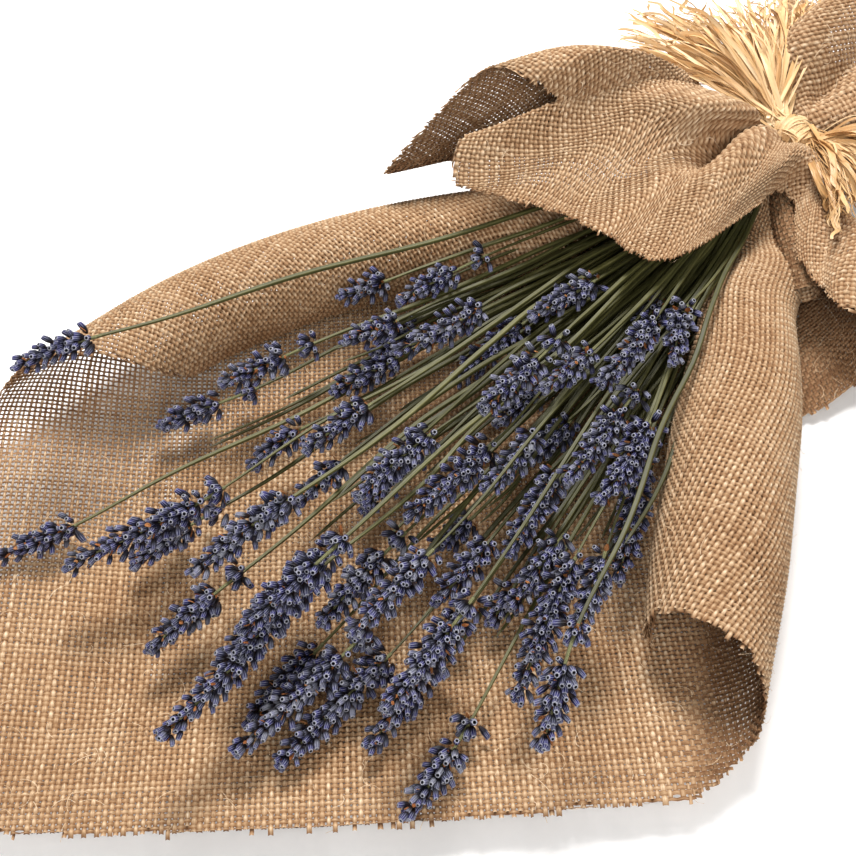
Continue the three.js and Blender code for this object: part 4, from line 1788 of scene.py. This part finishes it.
@dataclass
class FlowerHead:
    """One spike of lavender: whorls of calyces and bracts on a thin stalk.

    whorl is the distance between whorls, calyces how many a full one has and bracts
    how many it has beside them. The leans are how far they lean out, in degrees: in
    each whorl every second one is outer. top is how far below the tip the highest
    whorl is, and tuft how many calyces close the tip.
    """

    number: int
    line: Line
    stem: Stem
    calyx: bpy.types.Mesh
    bract: bpy.types.Mesh
    whorl: float = 3.8
    calyces: float = 8.8
    bracts: int = 4
    inner_lean: tuple[float, float] = (20.0, 56.0)
    outer_lean: tuple[float, float] = (44.0, 92.0)
    tuft_lean: tuple[float, float] = (5.0, 26.0)
    top: float = 5.0
    tuft: int = 5

    def _stalk(self, name: str) -> bpy.types.Mesh:
        """Make the thin stalk inside the spike.

        Args:
            name: the mesh's name.

        Returns:
            The mesh.
        """
        sides, stations = 5, 9

        def place(corner: Corners) -> Placed:
            """Wrap one strip round the head's axis.

            Args:
                corner: the corners.

            Returns:
                Their places.
            """
            share = corner.station / (stations - 1)
            ahead = blend(self.stem.base - 0.4, self.stem.ahead - 4.0, share)
            radius = blend(0.75, 0.4, share) * np.where(share == 1, 0.1, 1.0)
            points = beside(self.line.at(ahead), self.line.heading(ahead), radius,
                            corner.across / sides * math.tau)
            flat = np.stack([(corner.across / sides * 0.9) / CELLS, share / CELLS], axis=-1)
            none = np.zeros(len(points))
            return Placed(points, flat, np.ones(len(points), bool),
                          {"along": none, "tone": none, "green": none + 1, "paper": none})

        return Strips(1, sides + 1, stations, closed=True).mesh(name, place)

    def _add(self, head: bmesh.types.BMesh, template: bpy.types.Mesh, matrix: Matrix,
             tone: float, cell: int) -> None:
        """Copy a template into the head.

        Args:
            head: the head so far.
            template: the calyx or bract.
            matrix: where it goes.
            tone: how pale it is.
            cell: its place in the head's map.
        """
        verts, faces = len(head.verts), len(head.faces)
        head.from_mesh(template)
        head.verts.ensure_lookup_table()
        head.faces.ensure_lookup_table()
        new = head.verts[verts:]
        bmesh.ops.transform(head, matrix=matrix, verts=new)
        mark = head.verts.layers.float["tone"]
        for vert in new:
            vert[mark] = tone
        layer = head.loops.layers.uv[MAP_NAME]
        start = Vector((cell % CELLS, cell // CELLS % CELLS))
        for face in head.faces[faces:]:
            for loop in face.loops:
                loop[layer].uv = (start + loop[layer].uv * 0.94) / CELLS

    def _whorls(self, random: np.random.Generator) -> list[float]:
        """Space the whorls along the spike; most long spikes have one set apart.

        Args:
            random: a seeded source of numbers.

        Returns:
            How far ahead of the tie each whorl sits, from the lowest up.
        """
        places = []
        at = self.stem.ahead - self.top
        while at > self.stem.base + 1.0:
            places.append(at)
            at -= self.whorl * (0.86 + 0.3 * random.random())
        if self.stem.ahead - self.stem.base > 40 and random.random() < 0.65 and len(places) > 5:
            places = places[:-3] + [self.stem.base + 2.0]
        return places[::-1]

    def build(self, material: bpy.types.Material) -> None:
        """Make the head.

        Args:
            material: the florets' finish.
        """
        name = f"lavender_head_{self.number:02d}"
        random = np.random.default_rng(100 + self.number)
        head = bmesh.new()
        stalk = self._stalk(name)
        head.from_mesh(stalk)
        bpy.data.meshes.remove(stalk)
        whorls = self._whorls(random)
        cell = 1
        dull = random.uniform(0.0, 0.3)
        fat = blend(1.06, 1.5, rise(24.0, 58.0, self.stem.ahead - self.stem.base))
        for step, ahead in enumerate(whorls):
            share = step / max(1, len(whorls) - 1)
            full = fat * (1 - 0.55 * rise(0.5, 1.0, share)) * random.uniform(0.9, 1.1)
            count = int(round(self.calyces * full + random.uniform(-0.8, 0.8)))
            start = random.uniform(0, math.tau)
            for k in range(count + self.bracts):
                papery = k >= count
                turn = start + (k + random.uniform(-0.25, 0.25)) / count * math.tau
                outer = k % 2
                lean = random.uniform(*(self.outer_lean if outer else self.inner_lean))
                off = 0.7 + outer * random.uniform(0.6, 2.2) * full
                size = random.uniform(0.84, 1.06) * blend(1.0, 0.84, share)
                if papery:
                    lean, size = lean * 1.1, size * random.uniform(0.6, 1.15)
                at = ahead + random.uniform(-1.3, 1.3) - outer * 0.8
                self._floret(head, at, turn, math.radians(lean * blend(1.0, 0.72, share)), size,
                             papery, cell, dull + random.uniform(0, 0.7), off)
                cell += 1
        for k in range(self.tuft):
            self._floret(head, self.stem.ahead - 4.6 - k * 0.4, k * 1.4 + random.random(),
                         math.radians(random.uniform(*self.tuft_lean)), random.uniform(0.7, 0.88),
                         False, cell + k, dull + random.uniform(0, 0.7), 0.5)
        show(name, stored(name, head), material, f"flower_head_{self.number:02d}")

    def _floret(self, head: bmesh.types.BMesh, ahead: float, turn: float, lean: float,
                size: float, papery: bool, cell: int, tone: float, off: float) -> None:
        """Place one calyx or bract on the stalk.

        Args:
            head: the head so far.
            ahead: its place in front of the tie.
            turn: its place round the stalk.
            lean: how far it leans out from the stalk.
            size: its scale.
            papery: whether it is a bract.
            cell: its place in the head's map.
            tone: how pale it is.
            off: how far from the stalk's middle it starts.
        """
        axis = self.line.heading(ahead)
        level, steep = frame_of(axis)
        out = level * math.cos(turn) + steep * math.sin(turn)
        toward = axis * math.cos(lean) + out * math.sin(lean)
        around = unit(np.cross(toward, out if abs(lean) > 0.2 else level))
        root = self.line.at(ahead) + out * off
        third = np.cross(toward, around)
        matrix = Matrix(np.column_stack([around, third, toward]).tolist()).to_4x4()
        matrix = Matrix.Translation(Vector(root * METRES)) @ matrix @ Matrix.Scale(size * METRES, 4)
        self._add(head, self.bract if papery else self.calyx, matrix, tone, cell)


# ---- raffia -----------------------------------------------------------------
@dataclass(frozen=True)
class LooseEnds:
    """One bunch of loose ends: where it leaves the knot, and its strands and tips.

    root is measured from the knot's middle and tips from the tie, both to the right,
    ahead and up. fair is how pale the strands are on the whole.
    """

    name: str
    node: str
    root: Triple
    strands: int
    fair: float
    tips: tuple[Triple, ...]


LOOSE_ENDS = (
    LooseEnds("raffia_left", "raffia_ends_left", (-9, 0, 1), 360, 0.6, (
        (-66, 34, 57), (-76, 24, 58), (-82, 12, 60), (-80, 4, 62), (-72, -6, 66),
        (-66, -18, 62), (-60, -32, 62), (-58, -46, 58), (-50, -58, 60), (-40, -68, 58),
        (-29, -77, 56))),
    LooseEnds("raffia_right", "raffia_ends_right", (9, 0, 0), 230, 0.32, (
        (60, 47, 43), (56, 36, 48), (62, 24, 46), (66, 12, 44), (64, 0, 46), (58, -12, 46),
        (50, -24, 48))),
)


@dataclass
class Raffia:
    """Strands wound round the neck, the knot on top and the loose ends.

    knot is the knot's middle, half_knot its half width and reach its radii ahead and
    up, wound how many strands go round the neck and knotted how many round the knot.
    widths are how wide the split strands of the loose ends are, and shares how many
    are of each width. shades runs from the gaps between fibres to dry straw.
    """

    knot: Triple = (6.0, 1.0, 42.3)
    half_knot: float = 10.5
    reach: tuple[float, float] = (7.6, 5.4)
    wound: int = 14
    knotted: int = 40
    widths: tuple[float, ...] = (0.4, 0.7, 1.1, 1.8, 2.8)
    shares: tuple[float, ...] = (0.25, 0.25, 0.2, 0.2, 0.1)
    # the darkest stop is painted shade in the gaps between fibres
    shades: Stops = (
        (0.18, (0.290, 0.125, 0.040)), (0.42, (0.580, 0.335, 0.135)),
        (0.62, (0.760, 0.510, 0.255)), (0.90, (0.900, 0.710, 0.450)))
    seed: int = 31

    def material(self) -> bpy.types.Material:
        """Make the finish: pale straw with satin fibres along it.

        Returns:
            The material.
        """
        surface = Surface("raffia")
        fibre = surface.noise(surface.flat((900.0, 6.0)), 3.0)
        broad = surface.noise(surface.flat((120.0, 3.0)))
        tone = surface.attribute("tone")
        shade = fibre * 0.5 + broad * 0.25 + tone * 0.38
        return surface.finish(surface.ramp(shade, self.shades), 0.42, fibre * 0.25 + broad * 0.1)

    def _ribbons(self, name: str, paths: list[np.ndarray], widths: np.ndarray,
                 twists: np.ndarray, tones: np.ndarray, stations: int) -> bpy.types.Mesh:
        """Ribbons of three corners across along paths.

        Args:
            name: the mesh's name.
            paths: each ribbon's points, as many as there are stations.
            widths: each ribbon's width.
            twists: how far each turns on its way.
            tones: how pale each is.
            stations: points along a ribbon.

        Returns:
            The mesh.
        """
        paths = np.array(paths)
        heading = unit(np.gradient(paths, axis=1))
        level, steep = frame_of(heading)

        def place(corner: Corners) -> Placed:
            """Put each corner beside its path.

            Args:
                corner: the corners.

            Returns:
                Their places.
            """
            i, k = corner.strip, corner.station
            share = k / (stations - 1)
            turn = (twists[i, 0] + twists[i, 1] * share)[:, None]
            across = level[i, k] * np.cos(turn) + steep[i, k] * np.sin(turn)
            up = np.cross(heading[i, k], across)
            side = corner.across - 1.0
            thin = widths[i] * (1 - 0.55 * rise(0.75, 1.0, share)) / 2
            bulge = np.where(side == 0, 0.22 * thin, 0.0)
            points = paths[i, k] + across * (side * thin)[:, None] + up * bulge[:, None]
            flat = np.stack([(i + 0.1 + corner.across * 0.4) / len(paths), share], axis=-1)
            return Placed(points, flat, np.ones(len(points), bool), {"tone": tones[i]})

        return Strips(len(paths), 3, stations).mesh(name, place)

    def band(self, random: np.random.Generator) -> bpy.types.Mesh:
        """Wind strands round the neck.

        Args:
            random: a seeded source of numbers.

        Returns:
            The mesh.
        """
        stations = 40
        turn = np.linspace(0, math.tau, stations)
        paths = []
        for k in range(self.wound):
            across = -TIE.width / 2 + TIE.width * (k + 0.5) / self.wound
            slope = random.uniform(-1.4, 1.4)
            radius = TIE.raffia + 0.5 + random.uniform(0, TIE.depth - 0.6)
            y = across + slope * np.sin(turn + random.uniform(0, 6))
            y = np.clip(y, -TIE.width / 2 + 0.3, TIE.width / 2 - 0.3)
            ring = radius + 0.25 * np.sin(3 * turn + random.uniform(0, 6))
            paths.append(in_front(ring * np.sin(turn), y, TIE.height + ring * np.cos(turn)))
        return self._ribbons("band", paths, random.uniform(1.6, 3.2, self.wound),
                             np.zeros((self.wound, 2)), random.uniform(0.3, 1, self.wound),
                             stations)

    def knot_mesh(self, random: np.random.Generator) -> bpy.types.Mesh:
        """Wind strands over and over into the knot.

        Args:
            random: a seeded source of numbers.

        Returns:
            The mesh.
        """
        stations = 22
        turn = np.linspace(0.0, math.tau, stations)
        paths = []
        for k in range(self.knotted):
            tilt = random.uniform(-0.4, 0.4) + (0.9 if k % 4 == 0 else 0.0)
            along = random.uniform(-8.0, 8.0)
            bulge = math.sqrt(max(0.12, 1 - (along / self.half_knot) ** 2))
            bulge *= random.uniform(0.86, 1.04)
            y, z = self.reach[0] * bulge * np.cos(turn), self.reach[1] * bulge * np.sin(turn)
            x = along + 2.2 * np.sin(turn + random.uniform(0, 6))
            cos, sin = math.cos(tilt), math.sin(tilt)
            paths.append(in_front(self.knot[0] + x * cos - y * sin,
                                  self.knot[1] + x * sin + y * cos, self.knot[2] + z))
        return self._ribbons("knot", paths, random.uniform(1.2, 3.4, self.knotted),
                             np.zeros((self.knotted, 2)), random.uniform(0.35, 1, self.knotted),
                             stations)

    def ends(self, bunch: LooseEnds, random: np.random.Generator) -> bpy.types.Mesh:
        """Fan out the loose ends from one side of the knot.

        Args:
            bunch: the loose ends.
            random: a seeded source of numbers.

        Returns:
            The mesh.
        """
        stations = 26
        along = np.linspace(0, 1, stations)
        start = np.array(self.knot) + bunch.root
        tips = np.array(bunch.tips, float)
        paths, widths = [], []
        for k in range(bunch.strands):
            place = random.uniform(0, len(tips) - 1)
            i = min(int(place), len(tips) - 2)
            tip = blend(tips[i], tips[i + 1], place - i)
            tip[:2] = blend(start[:2], tip[:2], random.uniform(0.66, 1.06))
            tip[2] += random.uniform(-9, 5)
            lift = random.uniform(3, 9)
            middle = blend(start, tip, 0.5) + (0, 0, lift)
            late = blend(start, tip, 0.8) + (0, 0, lift * random.uniform(0.3, 0.9))
            bow = random.normal(0, 3.0, 3) * (1, 1, 0.4)
            spread = random.normal(0, 2.3, 3)
            knots = np.array([start + spread * (1, 1, 0.7), middle + bow, late + bow * 0.5, tip])
            curl = random.uniform(0, 3.4) * rise(0.6, 1.0, along)
            paths.append(Course(in_front(*knots.T)).at(along) + curl[:, None] * np.stack(
                [np.sin(along * 16 + k), np.cos(along * 14 + k), np.sin(along * 11 + 2 * k)],
                axis=1))
            widths.append(random.choice(self.widths, p=self.shares))
        twists = np.stack([random.uniform(-0.5, 0.5, bunch.strands),
                           random.normal(0, 1.3, bunch.strands)], axis=1)
        tones = np.clip(random.normal(bunch.fair, 0.25, bunch.strands), 0, 1)
        return self._ribbons(bunch.name, paths, np.array(widths), twists, tones, stations)

    def build(self) -> None:
        """Make the band with its knot, and the two bunches of loose ends."""
        random = np.random.default_rng(self.seed)
        material = self.material()
        band = join("raffia_tie", [self.band(random), self.knot_mesh(random)])
        show("raffia_tie", band, material, "raffia_band")
        for bunch in LOOSE_ENDS:
            show(bunch.name, self.ends(bunch, random), material, bunch.node)


# ---- studio -----------------------------------------------------------------
@dataclass(frozen=True)
class Lamp:
    """One soft square light that faces the bunch, in metres and watts."""

    name: str
    place: Triple
    size: float
    power: float
    faced: Triple = (0.0, -0.03, 0.0)
    colour: Triple = (1.0, 0.98, 0.95)

    def hang(self) -> None:
        """Add the light to the scene."""
        data = bpy.data.lights.new(self.name, "AREA")
        data.size = self.size
        data.energy = self.power
        data.color = self.colour
        lamp = added(self.name, data)
        lamp.location = self.place
        toward = Vector(self.place) - Vector(self.faced)
        lamp.rotation_euler = toward.to_track_quat("Z", "Y").to_euler()


@dataclass
class Studio:
    """The camera at the photograph's angle, the pale floor and the soft lights.

    The camera's measures are degrees, millimetres and pixels. floor_half is metres,
    paper the floor's colours, glow how strongly the floor glows as painted light that
    whitens the shadows on it, and dim how far from the bunch that glow starts and is
    full. haze is the light that comes from all round.
    """

    azimuth: float = 45.0
    elevation: float = 50.0
    distance: float = 575.0
    target: Triple = (-0.3, -30.0, 20.0)
    focal_pixels: float = 1500.0
    image_pixels: float = 856.0
    sensor: float = 36.0
    floor_half: float = 3.0
    paper: Stops = ((0.3, (0.86, 0.86, 0.865)), (0.7, (0.88, 0.88, 0.885)))
    glow: float = 0.25
    dim: tuple[float, float] = (0.11, 0.19)
    haze: float = 0.14
    lamps: tuple[Lamp, ...] = (
        Lamp("key", (-0.56, 0.52, 1.34), 0.6, 36.0),
        Lamp("fill", (0.9, -0.70, 1.05), 1.2, 20.0),
    )

    def camera(self) -> None:
        """Place the camera."""
        turn, tilt = math.radians(self.azimuth), math.radians(self.elevation)
        back = Vector((math.sin(turn) * math.cos(tilt), -math.cos(turn) * math.cos(tilt),
                       math.sin(tilt)))
        data = bpy.data.cameras.new("camera")
        data.sensor_width = self.sensor
        data.lens = self.focal_pixels / self.image_pixels * self.sensor
        data.clip_start, data.clip_end = 0.01, 20.0
        view = added("camera", data)
        view.location = (Vector(self.target) + back * self.distance) * METRES
        view.rotation_euler = (-back).to_track_quat("-Z", "Y").to_euler()
        bpy.context.scene.camera = view

    def floor(self) -> None:
        """Lay the pale floor."""
        shape = bmesh.new()
        bmesh.ops.create_grid(shape, x_segments=1, y_segments=1, size=self.floor_half)
        mesh = stored("floor", shape)
        surface = Surface("floor")
        grain = surface.noise(surface.solid((300.0,) * 3))
        colour = surface.ramp(grain, self.paper)
        x, y, _ = surface.axes(surface.solid((1.0,) * 3))
        # painted light: away from the bunch the floor glows, so the shadows on it there turn white
        apart = ((x - 0.02) ** 2.0 + ((y - 0.02) * 0.6) ** 2.0) ** 0.5
        glow = surface.ramp(apart.over(*self.dim), ((0.0, (0.0,) * 3), (1.0, (1.0,) * 3)))
        surface.tree.links.new(glow, surface.shader.inputs["Emission Color"])
        surface.shader.inputs["Emission Strength"].default_value = self.glow
        mesh.materials.append(surface.finish(colour, 0.7))
        floor = added("floor", mesh)

    def build(self) -> None:
        """Set up the floor and the lights."""
        self.floor()
        for lamp in self.lamps:
            lamp.hang()
        world = bpy.data.worlds.new("studio")
        world.use_nodes = True
        back = world.node_tree.nodes["Background"]
        back.inputs["Color"].default_value = (1.0, 1.0, 1.0, 1.0)
        back.inputs["Strength"].default_value = self.haze
        bpy.context.scene.world = world
        bpy.context.scene.view_settings.view_transform = "Standard"


def main() -> None:
    """Build the studio and the bunch, piece by piece."""
    logging.basicConfig(level=logging.INFO, format="%(message)s")
    studio = Studio()
    studio.camera()
    stems = Settling().settle()
    log.info("stems settled")
    lines = Stalks(stems).build()
    shapes = FloretShapes()
    calyx, bract = shapes.calyx(), shapes.bract()
    florets = FloretFinish().material()
    for number, (line, stem) in enumerate(zip(lines, stems), start=1):
        FlowerHead(number, line, stem, calyx, bract).build(florets)
    Wrap().build()
    Collar().build()
    Raffia().build()
    studio.build()


if __name__ == "__main__":
    main()
